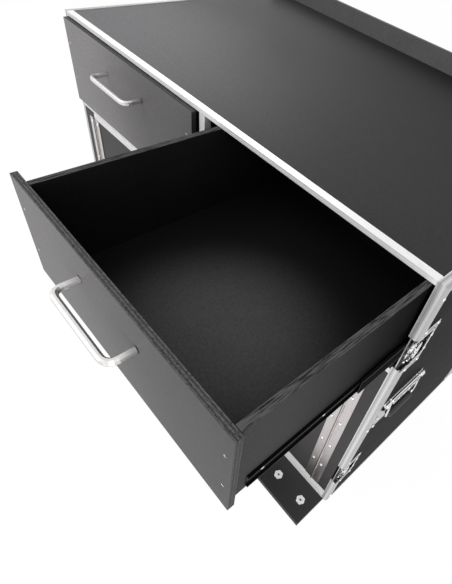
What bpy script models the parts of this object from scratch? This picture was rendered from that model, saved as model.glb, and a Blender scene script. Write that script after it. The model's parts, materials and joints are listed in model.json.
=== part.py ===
"""Coffee bar flight case: a wheeled cabinet with two drawers, two doors and recessed latches.

X runs to the right, Y to the back and Z up, with the floor at z = 0. Places in this script are
given from the case's middle in x, from its front plane in y, and in z from the lower edge of the
worktop's front trim, which place() turns into the model's frame.
"""
import math

import bmesh
import bpy
from mathutils import Vector

MM = 0.001
GAP = 0.3 * MM
ROUND_SIDES = 20
ROD_SIDES = 12

# Case
HALF_WIDTH = 600 * MM
FRAME_DEPTH = 637 * MM
CASE_DEPTH = 740 * MM
CASE_TOP = 10 * MM
CASE_BOTTOM = -905 * MM
FLOOR = -1051 * MM
WALL = 9 * MM
WORKTOP = 8 * MM
UPSTAND = 50 * MM
COVER_WALL = 18 * MM
REBATE = 0.5 * MM

# Edge extrusion of the sides, measured in from the outer face and back from the front
EDGE_FACE = 18 * MM
EDGE_FLANGE = 18 * MM
EDGE_SKIN = 1.7 * MM
EDGE_WEB = 2.2 * MM
EDGE_LEG = (11.3 * MM, 13.7 * MM)
EDGE_LEG_DEPTH = 12 * MM
EDGE_ROUND = 8 * MM
EDGE_INSIDE = (6 * MM, 6.5 * MM)
EDGE_GROOVE = (12.4 * MM, 14.2 * MM, 0.7 * MM)

# Front trims
TRIM_SHEET = 1.7 * MM
TRIM_DEPTH = 16 * MM
TRIM_GROOVE = (1.2 * MM, 0.5 * MM)
RAIL_TOP = -225 * MM
RAIL_HEIGHT = 14.5 * MM
SILL_HEIGHT = 48 * MM
DIVIDER_TRIM = 18 * MM
DIVIDER = 14 * MM
BATTEN_HEIGHT = 60 * MM

# Base board and casters
BOARD_HALF = 587.5 * MM
BOARD_FRONT = -102 * MM
BOARD = 18 * MM
CASTER_X = 501 * MM
CASTER_YS = (("front", -12 * MM), ("rear", 650 * MM))
CASTER_PLATE = (114 * MM, 100 * MM, 3.2 * MM)
WHEEL_RADIUS = 50 * MM
WHEEL_WIDTH = 32 * MM
WHEEL_BORE = 4.6 * MM
WHEEL_HUB = 12 * MM
WHEEL_DISH = (16 * MM, 37 * MM, 7 * MM)
WHEEL_RIM = 42 * MM
TREAD_DROP = ((2 * MM, 3 * MM), (0, 8 * MM))
HUB_STEP = 1 * MM
AXLE_RADIUS = 4 * MM
AXLE_END = 3 * MM
TRAIL = 34 * MM
FORK_WIDTH = 46 * MM
FORK_SHEET = 3 * MM
FORK_CROWN = 5 * MM
FORK_BACK = 24 * MM
FORK_NOSE = 37 * MM
FORK_EYE = 13 * MM
SWIVEL_RADIUS = 21 * MM
SWIVEL_HEIGHT = 14 * MM

# Drawers
FRONT_NEAR_X = 19 * MM
FRONT_FAR_X = 581 * MM
FRONT_TOP = -2 * MM
FRONT_BOTTOM = -216 * MM
FRONT = 12 * MM
BOX_NEAR_X = 52 * MM
BOX_FAR_X = 577 * MM
BOX_WALL = 12 * MM
BOX_BOTTOM = -196 * MM
BOX_DEPTH = 560 * MM
TRAY = 6 * MM
DRAWER_OPEN = 360 * MM
DRAWER_STOP = 0.5 * MM

# Bow handles
BOW_SPACING = 156 * MM
BOW_REACH = 42 * MM
BOW_RADIUS = 6 * MM
BOW_BEND = 17 * MM
BOW_Z = -67 * MM
DOOR_BOW_X = 70 * MM
DOOR_BOW_Z = -430 * MM

# Ball slides: web and flange tip, from the drawer's wall, and half the height
SLIDE_Z = -168.5 * MM
SLIDE_LENGTH = 550 * MM
MIDDLE_SETBACK = 45 * MM
SLIDE_SHEET = 1.3 * MM
SLIDE_SPACE = 12 * MM
SLIDE_START = 25 * MM
DRAWER_MEMBER_START = 18.5 * MM
DRAWER_MEMBER = (0.3 * MM, 5.2 * MM, 15.5 * MM)
MIDDLE_MEMBER = (8.3 * MM, 3.4 * MM, 19.5 * MM)
CASE_MEMBER = (11.7 * MM, 2.6 * MM, 22.5 * MM)

# Doors and piano hinges
HINGE_X = 530 * MM
HINGE_Y = -3 * MM
HINGE_LEAF = 25 * MM
HINGE_SHEET = 1.4 * MM
HINGE_SLIT = 1.5 * MM
KNUCKLE_RADIUS = 2.7 * MM
PIN_RADIUS = 1.2 * MM
PIN_BORE = 1.6 * MM
KNUCKLES = 17
HINGE_DROP = 16 * MM
DOOR = 12 * MM
DOOR_GAP = 2 * MM
STILE = 18 * MM

# Recessed turn latches
LATCHES = (("upper", -170.5 * MM), ("lower", -720 * MM))
NOTCH_HEIGHT = 92 * MM
NOTCH_DEPTH = 62 * MM
DISH_HEIGHT = 128 * MM
DISH_WIDTH = 67 * MM
DISH_ROUND = 7 * MM
DISH_FLOOR = 9.5 * MM
DISH_SHEET = 1.4 * MM
TURN_Y = 28 * MM
HUB_RADIUS = 12 * MM
WING_HALF_LENGTH = 25 * MM
WING_HALF_WIDTH = 9 * MM
WING_SHEET = 2.5 * MM
WING_STEPS = 6

# Spring handles on the sides
GRIP_PLATE_Y = (19 * MM, 163 * MM)
GRIP_PLATE_Z = (-356 * MM, -464 * MM)
PLATE_SHEET = 1.7 * MM
PIVOT_Z = -362 * MM
PIVOT_X = 604.6 * MM
BARREL_RADIUS = 5 * MM
BARREL_BORE = 3 * MM
BARREL_LENGTH = 14 * MM
BARREL_INSET = 3 * MM
BAIL_RADIUS = 2.6 * MM
BAIL_Y = (39.5 * MM, 142.5 * MM)
BAIL_LENGTH = 58 * MM
BAIL_OFFSET = 4.5 * MM
BAIL_BEND = 9 * MM
GRIP_RADIUS = 8.5 * MM
GRIP_LENGTH = 80 * MM

# Places that follow from the sizes
LIP_X = HALF_WIDTH - EDGE_FACE
PANEL_OUT_X = HALF_WIDTH - EDGE_SKIN - GAP
PANEL_IN_X = PANEL_OUT_X - WALL
RAIL_BOTTOM = RAIL_TOP - RAIL_HEIGHT
SILL_TOP = CASE_BOTTOM + SILL_HEIGHT - GAP
BOARD_TOP = CASE_BOTTOM - GAP
BOARD_BOTTOM = BOARD_TOP - BOARD
DOOR_TOP = RAIL_BOTTOM - DOOR_GAP
HINGE_TOP = DOOR_TOP - HINGE_DROP
DOOR_BOTTOM = SILL_TOP + DOOR_GAP
BACK_Y = FRAME_DEPTH - EDGE_LEG_DEPTH - GAP
DRAWER_X = (FRONT_NEAR_X + FRONT_FAR_X) / 2
FRONT_REACH = DRAWER_OPEN + DRAWER_STOP + FRONT + GAP + BOW_REACH + BOW_RADIUS
FRONT_Y = (FRONT_REACH - CASE_DEPTH) / 2


def place(x, y, z):
    """A place in the model's frame."""
    return Vector((x, y + FRONT_Y, z - FLOOR))


def clear_scene():
    for obj in list(bpy.data.objects):
        bpy.data.objects.remove(obj)


def collection(name):
    group = bpy.data.collections.new(name)
    bpy.context.scene.collection.children.link(group)
    return group


def material(name, colour, roughness, metallic=0.0):
    mat = bpy.data.materials.new(name)
    mat.use_nodes = True
    shader = mat.node_tree.nodes["Principled BSDF"]
    shader.inputs["Base Color"].default_value = (*colour, 1.0)
    shader.inputs["Roughness"].default_value = roughness
    shader.inputs["Metallic"].default_value = metallic
    return mat


def add_box(bm, low, high):
    """Add a box between two places, given in any order."""
    corners = [place(*low), place(*high)]
    size = Vector(abs(a - b) for a, b in zip(*corners))
    made = bmesh.ops.create_cube(bm, size=1.0)
    bmesh.ops.scale(bm, vec=size, verts=made["verts"])
    bmesh.ops.translate(bm, vec=(corners[0] + corners[1]) / 2, verts=made["verts"])


def add_rod(bm, centre, axis, radius, length, sides=16):
    """Add a round bar whose middle is at centre."""
    made = bmesh.ops.create_cone(bm, cap_ends=True, segments=sides, radius1=radius, radius2=radius, depth=length)
    turn = Vector((0, 0, 1)).rotation_difference(Vector(axis)).to_matrix()
    bmesh.ops.rotate(bm, matrix=turn, cent=(0, 0, 0), verts=made["verts"])
    bmesh.ops.translate(bm, vec=centre, verts=made["verts"])


def box_mesh(low, high):
    bm = bmesh.new()
    add_box(bm, low, high)
    return bm


def rod_mesh(centre, axis, radius, length, sides=16):
    bm = bmesh.new()
    add_rod(bm, place(*centre), axis, radius, length, sides)
    return bm


def prism_mesh(outline, along):
    """A flat outline of places, extruded by the vector along."""
    bm = bmesh.new()
    face = bm.faces.new([bm.verts.new(spot) for spot in outline])
    made = bmesh.ops.extrude_face_region(bm, geom=[face])
    far = [item for item in made["geom"] if isinstance(item, bmesh.types.BMVert)]
    bmesh.ops.translate(bm, vec=along, verts=far)
    bmesh.ops.recalc_face_normals(bm, faces=bm.faces)
    return bm


def arc(centre, radius, start, end, steps):
    """Points on an arc, with the angles in degrees."""
    turns = [math.radians(start + (end - start) * step / steps) for step in range(steps + 1)]
    return [(centre[0] + radius * math.cos(turn), centre[1] + radius * math.sin(turn)) for turn in turns]


def rounded_path(corners, reach, steps=5):
    """A path through corners, each of them rounded from a reach before it to a reach after it."""
    spots = [Vector(corner) for corner in corners]
    path = [spots[0]]
    for before, corner, after in zip(spots, spots[1:], spots[2:]):
        back = (before - corner).normalized() * reach
        ahead = (after - corner).normalized() * reach
        for step in range(steps + 1):
            part = step / steps
            path.append(corner + back * (1 - part) ** 2 + ahead * part ** 2)
    return path + [spots[-1]]


def tube_mesh(path, radius):
    """A round tube along a path, as a closed mesh."""
    curve = bpy.data.curves.new("tube", "CURVE")
    curve.dimensions = "3D"
    curve.bevel_depth = radius
    curve.bevel_resolution = 3
    curve.use_fill_caps = True
    spline = curve.splines.new("POLY")
    spline.points.add(len(path) - 1)
    for spot, corner in zip(spline.points, path):
        spot.co = (*corner, 1.0)
    holder = bpy.data.objects.new("tube", curve)
    bpy.context.scene.collection.objects.link(holder)
    graph = bpy.context.evaluated_depsgraph_get()
    mesh = bpy.data.meshes.new_from_object(holder.evaluated_get(graph))
    bm = bmesh.new()
    bm.from_mesh(mesh)
    bmesh.ops.remove_doubles(bm, verts=bm.verts, dist=0.00001)
    bmesh.ops.recalc_face_normals(bm, faces=bm.faces)
    bpy.data.meshes.remove(mesh)
    bpy.data.objects.remove(holder)
    return bm


class Workshop:
    """Holds the collections and finishes, and makes the named pieces."""

    def __init__(self):
        self.parts = collection("coffee_bar_flight_case")
        self.cutters = collection("cutters")
        self.laminate = material("black_laminate", (0.035, 0.035, 0.037), 0.5)
        self.front = material("grey_laminate", (0.16, 0.155, 0.15), 0.55)
        self.ply = material("black_stained_ply", (0.03, 0.029, 0.029), 0.6)
        self.aluminium = material("aluminium", (0.78, 0.78, 0.79), 0.35, 1.0)
        self.zinc = material("plated_steel", (0.66, 0.66, 0.67), 0.25, 1.0)
        self.steel = material("brushed_steel", (0.62, 0.61, 0.59), 0.35, 1.0)
        self.slide = material("black_zinc", (0.02, 0.02, 0.021), 0.35, 0.8)
        self.rubber = material("grey_rubber", (0.06, 0.06, 0.065), 0.7)

    def piece(self, name, bm, finish, parent=None, origin=(0, 0, 0), smooth=None):
        """Make a piece of a mesh given in the model's frame, with its origin at a place."""
        origin = Vector(origin)
        bmesh.ops.translate(bm, vec=-origin, verts=bm.verts)
        mesh = bpy.data.meshes.new(name)
        bm.to_mesh(mesh)
        bm.free()
        own = finish.copy()
        own.name = name + "_finish"
        mesh.materials.append(own)
        if smooth:
            mesh.shade_smooth()
            mesh.set_sharp_from_angle(angle=math.radians(smooth))
        obj = bpy.data.objects.new(name, mesh)
        self.parts.objects.link(obj)
        obj.parent = parent
        obj.location = origin - parent.location if parent else origin
        return obj

    def axis(self, name, spot):
        """An empty on a joint's axis, which carries what moves there."""
        empty = bpy.data.objects.new(name, None)
        empty.empty_display_size = 0.05
        empty.location = spot
        self.parts.objects.link(empty)
        return empty

    def shape(self, obj, name, bm, operation="DIFFERENCE"):
        """Cut a shape out of a piece, or join it on."""
        mesh = bpy.data.meshes.new(name)
        bm.to_mesh(mesh)
        bm.free()
        tool = bpy.data.objects.new(name, mesh)
        tool.hide_render = True
        tool.display_type = "WIRE"
        self.cutters.objects.link(tool)
        modifier = obj.modifiers.new(name, "BOOLEAN")
        modifier.operation = operation
        modifier.object = tool

    def bevel(self, obj, width, segments=2):
        modifier = obj.modifiers.new("edges", "BEVEL")
        modifier.width = width
        modifier.segments = segments
        modifier.limit_method = "ANGLE"
        modifier.angle_limit = math.radians(40)


def word(side):
    return "right" if side > 0 else "left"


def edge_section():
    """The edge extrusion: in from the outer face, and back from the edge."""
    start, end, deep = EDGE_GROOVE
    outer, inner = EDGE_LEG
    across, back = EDGE_INSIDE
    section = arc((EDGE_ROUND, EDGE_ROUND), EDGE_ROUND, 180, 270, 6)
    section += [(start, 0), (start + deep / 2, deep), (end - deep / 2, deep), (end, 0), (EDGE_FACE, 0)]
    section += [(EDGE_FACE, EDGE_WEB), (inner, EDGE_WEB), (inner, EDGE_LEG_DEPTH), (outer, EDGE_LEG_DEPTH)]
    section += [(outer, EDGE_WEB), (across, EDGE_WEB), (EDGE_SKIN, back), (EDGE_SKIN, EDGE_FLANGE)]
    return section + [(0, EDGE_FLANGE)]


def side_frame(shop, side):
    """Edge extrusion round a side, mitred at its four corners and notched for the latches."""
    bm = bmesh.new()
    section = edge_section()
    corners = ((0, CASE_TOP, 1, -1), (FRAME_DEPTH, CASE_TOP, -1, -1),
               (FRAME_DEPTH, CASE_BOTTOM, -1, 1), (0, CASE_BOTTOM, 1, 1))
    rings = []
    for y, z, back, up in corners:
        spots = [place(side * (HALF_WIDTH - across), y + back * deep, z + up * deep) for across, deep in section]
        rings.append([bm.verts.new(spot) for spot in spots])
    count = len(section)
    for ring, following in zip(rings, rings[1:] + rings[:1]):
        for index in range(count):
            after = (index + 1) % count
            bm.faces.new((ring[index], ring[after], following[after], following[index]))
    bmesh.ops.recalc_face_normals(bm, faces=bm.faces)
    frame = shop.piece(f"side_frame_{word(side)}", bm, shop.aluminium, smooth=35)
    for level, middle in LATCHES:
        bottom, top = middle - NOTCH_HEIGHT / 2, middle + NOTCH_HEIGHT / 2
        low = (side * (HALF_WIDTH - DISH_FLOOR), -WALL, bottom)
        shop.shape(frame, f"{frame.name}_{level}_notch",
                   box_mesh(low, (side * (HALF_WIDTH + WALL), NOTCH_DEPTH, top)))
        shop.shape(frame, f"{frame.name}_{level}_lip",
                   box_mesh((side * (LIP_X - WALL), -WALL, bottom), (side * HALF_WIDTH, EDGE_WEB + GAP, top)))


def side_panel(shop, side):
    inset = EDGE_INSIDE[1] + GAP
    low = (side * PANEL_IN_X, inset, CASE_BOTTOM + inset)
    high = (side * PANEL_OUT_X, FRAME_DEPTH - inset, CASE_TOP - inset)
    panel = shop.piece(f"side_panel_{word(side)}", box_mesh(low, high), shop.laminate)
    for level, middle in LATCHES:
        low = (side * (PANEL_IN_X - WALL), -WALL, middle - NOTCH_HEIGHT / 2)
        high = (side * (PANEL_OUT_X + WALL), NOTCH_DEPTH, middle + NOTCH_HEIGHT / 2)
        shop.shape(panel, f"{panel.name}_{level}_notch", box_mesh(low, high))


def channel(width, deep, sheet, groove=None):
    """A U section whose web is in front: across, then back. A groove runs along its face."""
    half = width / 2
    section = [(-half, 0)]
    if groove:
        wide, low = groove
        section += [(-wide / 2, 0), (-wide / 2, low), (wide / 2, low), (wide / 2, 0)]
    section += [(half, 0), (half, deep), (half - sheet, deep), (half - sheet, sheet)]
    return section + [(sheet - half, sheet), (sheet - half, deep), (-half, deep)]


def carcass(shop):
    """The board, the worktop, the back, the divider and the rear cover."""
    board = shop.piece("base_board", box_mesh((-BOARD_HALF, BOARD_FRONT, BOARD_BOTTOM),
                                              (BOARD_HALF, CASE_DEPTH, BOARD_TOP)), shop.ply)
    wide, deep, thick = CASTER_PLATE
    plates = bmesh.new()
    for side in (1, -1):
        for _, y in CASTER_YS:
            low = (side * CASTER_X - wide / 2, y - deep / 2, BOARD_BOTTOM - thick)
            add_box(plates, low, (side * CASTER_X + wide / 2, y + deep / 2, BOARD_BOTTOM + thick))
    shop.shape(board, "caster_plates", plates, "UNION")

    reach = LIP_X - GAP
    top = CASE_TOP - TRIM_SHEET
    worktop = shop.piece("worktop", box_mesh((-reach, TRIM_SHEET + GAP, top - WORKTOP),
                                             (reach, CASE_DEPTH - WALL - GAP, top)), shop.laminate)
    shop.shape(worktop, "trim_seat", box_mesh((-2 * reach, -WALL, top - REBATE),
                                              (2 * reach, TRIM_DEPTH + GAP, top + WALL)))
    ceiling = top - WORKTOP - GAP
    shop.piece("back_panel", box_mesh((-reach, BACK_Y - WALL, BOARD_TOP + GAP), (reach, BACK_Y, ceiling)),
               shop.laminate)
    divider = shop.piece("divider_panel", box_mesh((-DIVIDER / 2, TRIM_SHEET + GAP, BOARD_TOP + GAP),
                                                   (DIVIDER / 2, BACK_Y - WALL - GAP, ceiling)), shop.laminate)
    batten = BOX_NEAR_X - SLIDE_SPACE
    low = (-batten, SLIDE_START, SLIDE_Z - BATTEN_HEIGHT / 2)
    high = (batten, SLIDE_START + SLIDE_LENGTH, SLIDE_Z + BATTEN_HEIGHT / 2)
    shop.shape(divider, "slide_battens", box_mesh(low, high), "UNION")
    low = (-reach, TRIM_SHEET + GAP, RAIL_BOTTOM + TRIM_SHEET + GAP)
    high = (reach, BACK_Y - WALL - GAP, RAIL_TOP - TRIM_SHEET - GAP)
    shop.shape(divider, "shelf", box_mesh(low, high), "UNION")
    notches = bmesh.new()
    for low_z, high_z in ((RAIL_BOTTOM - GAP, RAIL_TOP + GAP), (CASE_BOTTOM - WALL, SILL_TOP + GAP)):
        add_box(notches, (-DIVIDER, -WALL, low_z), (DIVIDER, TRIM_DEPTH + GAP, high_z))
    shop.shape(divider, "trim_notches", notches)

    cover = shop.piece("rear_cover", box_mesh((-HALF_WIDTH, FRAME_DEPTH + GAP, CASE_BOTTOM),
                                              (HALF_WIDTH, CASE_DEPTH, CASE_TOP + UPSTAND)), shop.laminate)
    inside = HALF_WIDTH - COVER_WALL
    back = CASE_DEPTH - WALL
    shop.shape(cover, "cover_inside", box_mesh((-inside, BACK_Y, CASE_BOTTOM + WALL),
                                               (inside, back, CASE_TOP + 2 * UPSTAND)))
    shop.shape(cover, "cover_top", box_mesh((-2 * HALF_WIDTH, BACK_Y, CASE_TOP),
                                            (2 * HALF_WIDTH, back, CASE_TOP + 2 * UPSTAND)))


def front_trims(shop):
    """The extrusions on the worktop's edge, round the drawers and doors, and along the bottom."""
    reach = LIP_X - GAP
    across = Vector((2 * reach, 0, 0))
    wide, low = TRIM_GROOVE
    start = (CASE_TOP - wide) / 2
    flange = CASE_TOP - TRIM_SHEET
    section = [(0, 0), (0, start), (low, start), (low, start + wide), (0, start + wide), (0, CASE_TOP)]
    section += [(TRIM_DEPTH, CASE_TOP), (TRIM_DEPTH, flange), (TRIM_SHEET, flange), (TRIM_SHEET, 0)]
    outline = [place(-reach, y, z) for y, z in section]
    shop.piece("worktop_trim", prism_mesh(outline, across), shop.aluminium)

    middle = RAIL_TOP - RAIL_HEIGHT / 2
    outline = [place(-reach, y, middle + z) for z, y in channel(RAIL_HEIGHT, TRIM_DEPTH, TRIM_SHEET)]
    rail = shop.piece("front_rail", prism_mesh(outline, across), shop.aluminium)
    outline = [place(x, y, SILL_TOP + GAP) for x, y in channel(DIVIDER_TRIM, TRIM_DEPTH, TRIM_SHEET)]
    upright = prism_mesh(outline, Vector((0, 0, -2 * GAP - SILL_TOP)))
    shop.shape(rail, "divider_trim", upright, "UNION")

    middle = (SILL_TOP + CASE_BOTTOM + GAP) / 2
    height = SILL_TOP - CASE_BOTTOM - GAP
    outline = [place(-reach, y, middle + z) for z, y in channel(height, TRIM_DEPTH, TRIM_SHEET, TRIM_GROOVE)]
    shop.piece("bottom_trim", prism_mesh(outline, across), shop.aluminium)


def slide_member(shop, name, face_x, outward, member, start_y, length, parent=None):
    """One channel of a ball slide; outward points from the drawer's wall to the case's."""
    web, tip, half = member
    deep = abs(tip - web)
    inward = outward if tip > web else -outward
    start_x = face_x + outward * web
    section = channel(2 * half, deep, SLIDE_SHEET)
    outline = [place(start_x + inward * back, start_y, SLIDE_Z + up) for up, back in section]
    origin = parent.location if parent else place(start_x, start_y, SLIDE_Z)
    shop.piece(name, prism_mesh(outline, Vector((0, length, 0))), shop.slide, parent, origin)


def slides(shop, side, opened, drawer_run):
    """The two ball slides of a drawer, with a middle pair that moves half as far."""
    hand = word(side)
    middle_run = shop.axis(f"{hand}_slide_middle_run", place(side * BOX_FAR_X, -opened / 2, SLIDE_Z))
    walls = (("outer", side * BOX_FAR_X, side), ("inner", side * BOX_NEAR_X, -side))
    for edge, face_x, outward in walls:
        name = f"{hand}_slide_{edge}"
        start = DRAWER_MEMBER_START - opened
        slide_member(shop, f"{name}_drawer", face_x, outward, DRAWER_MEMBER, start, SLIDE_LENGTH, drawer_run)
        start = SLIDE_START + MIDDLE_SETBACK - opened / 2
        slide_member(shop, f"{name}_middle", face_x, outward, MIDDLE_MEMBER, start,
                     SLIDE_LENGTH - MIDDLE_SETBACK, middle_run)
        slide_member(shop, f"{name}_case", face_x, outward, CASE_MEMBER, SLIDE_START, SLIDE_LENGTH)


def bow_handle(shop, name, centre, along, parent):
    """A bent tube that stands off its panel on two feet."""
    centre, along = place(*centre), Vector(along)
    out = Vector((0, -BOW_REACH, 0))
    ends = [centre - along * BOW_SPACING / 2, centre + along * BOW_SPACING / 2]
    path = rounded_path([ends[0], ends[0] + out, ends[1] + out, ends[1]], BOW_BEND)
    shop.piece(name, tube_mesh(path, BOW_RADIUS), shop.steel, parent, centre, smooth=40)


def drawer(shop, side, opened):
    """A drawer: its front, its box with the bottom let in, its handle and its slides."""
    hand = word(side)
    face = -DRAWER_STOP - opened
    run = shop.axis(f"{hand}_drawer_run", place(side * DRAWER_X, face, SLIDE_Z))
    front = box_mesh((side * FRONT_NEAR_X, face - FRONT, FRONT_BOTTOM), (side * FRONT_FAR_X, face, FRONT_TOP))
    shop.bevel(shop.piece(f"{hand}_drawer_front", front, shop.front, run, run.location), 0.5 * MM, 1)

    start, end = face + GAP, face + BOX_DEPTH
    block = box_mesh((side * BOX_NEAR_X, start, BOX_BOTTOM), (side * BOX_FAR_X, end, FRONT_TOP))
    box = shop.piece(f"{hand}_drawer_box", block, shop.ply, run, run.location)
    near, far = side * (BOX_NEAR_X + BOX_WALL), side * (BOX_FAR_X - BOX_WALL)
    tray = BOX_BOTTOM + TRAY
    shop.shape(box, f"{hand}_box_inside", box_mesh((near, start - WALL, tray + TRAY), (far, end - BOX_WALL, WALL)))
    shop.shape(box, f"{hand}_box_under", box_mesh((near, start - WALL, BOX_BOTTOM - WALL),
                                                  (far, end - BOX_WALL, tray)))
    foot = face - FRONT - GAP
    bow_handle(shop, f"{hand}_drawer_handle", (side * DRAWER_X, foot, BOW_Z), (1, 0, 0), run)
    slides(shop, side, opened, run)


def hinge_leaf(shop, side, kind, parent, origin):
    """Half a piano hinge: a comb-shaped leaf with every second knuckle rolled on its teeth."""
    outward, first = (side, 0) if kind == "fixed" else (-side, 1)
    pitch = (HINGE_TOP - DOOR_BOTTOM) / KNUCKLES
    axis_x = side * HINGE_X
    near = axis_x + outward * (KNUCKLE_RADIUS + GAP)
    far = axis_x + outward * HINGE_LEAF
    tooth = axis_x + outward * KNUCKLE_RADIUS / 2
    comb = [(far, DOOR_BOTTOM), (far, HINGE_TOP), (near, HINGE_TOP)]
    rolls = bmesh.new()
    for index in range(first, KNUCKLES, 2):
        high = HINGE_TOP - index * pitch - GAP
        low = high - pitch + 2 * GAP
        comb += [(near, high), (tooth, high), (tooth, low), (near, low)]
        add_rod(rolls, place(axis_x, HINGE_Y, (high + low) / 2), (0, 0, 1), KNUCKLE_RADIUS, high - low, ROD_SIDES)
    comb.append((near, DOOR_BOTTOM))
    outline = [place(x, -GAP - HINGE_SHEET, z) for x, z in comb]
    name = f"{word(side)}_hinge_{kind}_leaf"
    leaf = shop.piece(name, prism_mesh(outline, Vector((0, HINGE_SHEET, 0))), shop.steel, parent, origin)
    shop.shape(leaf, f"{name}_knuckles", rolls, "UNION")
    middle = (axis_x, HINGE_Y, (HINGE_TOP + DOOR_BOTTOM) / 2)
    length = HINGE_TOP - DOOR_BOTTOM - 4 * GAP
    if kind == "fixed":
        shop.shape(leaf, f"{name}_pin", rod_mesh(middle, (0, 0, 1), PIN_RADIUS, length, ROD_SIDES), "UNION")
    else:
        shop.shape(leaf, f"{name}_bore", rod_mesh(middle, (0, 0, 1), PIN_BORE, 2 * length, ROD_SIDES))


def door(shop, side):
    """A door with its piano hinge, its pull and the stile that carries the hinge."""
    hand = word(side)
    stile = box_mesh((side * (HINGE_X + HINGE_SLIT), GAP, DOOR_BOTTOM), (side * (LIP_X - GAP), STILE, DOOR_TOP))
    shop.piece(f"{hand}_hinge_stile", stile, shop.laminate)
    swing = shop.axis(f"{hand}_door_swing", place(side * HINGE_X, HINGE_Y, (HINGE_TOP + DOOR_BOTTOM) / 2))
    free_x = side * (DIVIDER_TRIM / 2 + DOOR_GAP)
    panel = box_mesh((side * (HINGE_X - HINGE_SLIT), GAP, DOOR_BOTTOM), (free_x, GAP + DOOR, DOOR_TOP))
    shop.piece(f"{hand}_door", panel, shop.laminate, swing, swing.location)
    hinge_leaf(shop, side, "fixed", None, swing.location)
    hinge_leaf(shop, side, "moving", swing, swing.location)
    bow_handle(shop, f"{hand}_door_handle", (side * DOOR_BOW_X, 0, DOOR_BOW_Z), (0, 0, 1), swing)


def latch(shop, side, level, middle):
    """A latch dish let into the panel's front edge, with a wing that turns on its hub."""
    name = f"{word(side)}_{level}_latch"
    floor_x = HALF_WIDTH - DISH_FLOOR + GAP
    flange_x = PANEL_OUT_X + GAP
    high = NOTCH_HEIGHT / 2 - GAP
    flange = [(GAP, high), (EDGE_FLANGE + GAP, high), (EDGE_FLANGE + GAP, DISH_HEIGHT / 2)]
    flange += arc((DISH_WIDTH - DISH_ROUND, DISH_HEIGHT / 2 - DISH_ROUND), DISH_ROUND, 90, 0, 4)
    flange += [(y, -z) for y, z in reversed(flange)]
    outline = [place(side * flange_x, y, middle + z) for y, z in flange]
    dish = shop.piece(f"{name}_dish", prism_mesh(outline, Vector((side * DISH_SHEET, 0, 0))), shop.zinc)
    block = box_mesh((side * floor_x, GAP, middle - high),
                     (side * (flange_x + DISH_SHEET / 2), NOTCH_DEPTH - GAP, middle + high))
    shop.shape(dish, f"{name}_block", block, "UNION")
    inner = high - DISH_SHEET
    pocket = box_mesh((side * (floor_x + DISH_SHEET), -WALL, middle - inner),
                      (side * (HALF_WIDTH + WALL), NOTCH_DEPTH - GAP - DISH_SHEET, middle + inner))
    shop.shape(dish, f"{name}_pocket", pocket)

    hub_x = floor_x + DISH_SHEET + GAP
    tip_x = PANEL_OUT_X + GAP
    hub_length = tip_x - hub_x
    turn = shop.axis(f"{name}_turn", place(side * hub_x, TURN_Y, middle))
    hub = rod_mesh((side * (hub_x + hub_length / 2), TURN_Y, middle), (1, 0, 0), HUB_RADIUS, hub_length, ROUND_SIDES)
    wing = shop.piece(f"{name}_wing", hub, shop.zinc, turn, turn.location, smooth=40)
    turns = [math.pi * step / WING_STEPS for step in range(2 * WING_STEPS)]
    outline = [place(side * (tip_x - WING_SHEET), TURN_Y + WING_HALF_WIDTH * math.sin(turned),
                     middle + WING_HALF_LENGTH * math.cos(turned)) for turned in turns]
    shop.shape(wing, f"{name}_key", prism_mesh(outline, Vector((side * (WING_SHEET + DISH_SHEET), 0, 0))), "UNION")


def side_handle(shop, side):
    """A riveted plate with three barrels, and the bail that hangs from them."""
    name = f"{word(side)}_side_handle"
    plate_x = PANEL_OUT_X + GAP
    sheet = box_mesh((side * plate_x, GRIP_PLATE_Y[0], GRIP_PLATE_Z[0]),
                     (side * (plate_x + PLATE_SHEET), GRIP_PLATE_Y[1], GRIP_PLATE_Z[1]))
    plate = shop.piece(f"{name}_plate", sheet, shop.zinc)
    middle_y = sum(GRIP_PLATE_Y) / 2
    spread = (GRIP_PLATE_Y[1] - GRIP_PLATE_Y[0] - BARREL_LENGTH) / 2 - BARREL_INSET
    barrels = bmesh.new()
    for step in (-1, 0, 1):
        centre = place(side * PIVOT_X, middle_y + step * spread, PIVOT_Z)
        add_rod(barrels, centre, (0, 1, 0), BARREL_RADIUS, BARREL_LENGTH)
    shop.shape(plate, f"{name}_barrels", barrels, "UNION")
    bore = rod_mesh((side * PIVOT_X, middle_y, PIVOT_Z), (0, 1, 0), BARREL_BORE, CASE_DEPTH)
    shop.shape(plate, f"{name}_bore", bore)

    swing = shop.axis(f"{name}_swing", place(side * PIVOT_X, middle_y, PIVOT_Z))
    low_z = PIVOT_Z - BAIL_LENGTH
    grip_x = side * (PIVOT_X + BAIL_OFFSET)
    near, far = BAIL_Y
    corners = [place(side * PIVOT_X, near, PIVOT_Z), place(grip_x, near, PIVOT_Z - BAIL_LENGTH / 2),
               place(grip_x, near, low_z), place(grip_x, far, low_z),
               place(grip_x, far, PIVOT_Z - BAIL_LENGTH / 2), place(side * PIVOT_X, far, PIVOT_Z)]
    legs = tube_mesh(rounded_path(corners, BAIL_BEND), BAIL_RADIUS)
    bail = shop.piece(f"{name}_bail", legs, shop.rubber, swing, swing.location, smooth=40)
    grip = rod_mesh((grip_x, middle_y, low_z), (0, 1, 0), GRIP_RADIUS, GRIP_LENGTH)
    shop.shape(bail, f"{name}_grip", grip, "UNION")
    pivot = rod_mesh((side * PIVOT_X, middle_y, PIVOT_Z), (0, 1, 0), BAIL_RADIUS, 2 * spread + BARREL_LENGTH)
    shop.shape(bail, f"{name}_pivot", pivot, "UNION")


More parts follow.
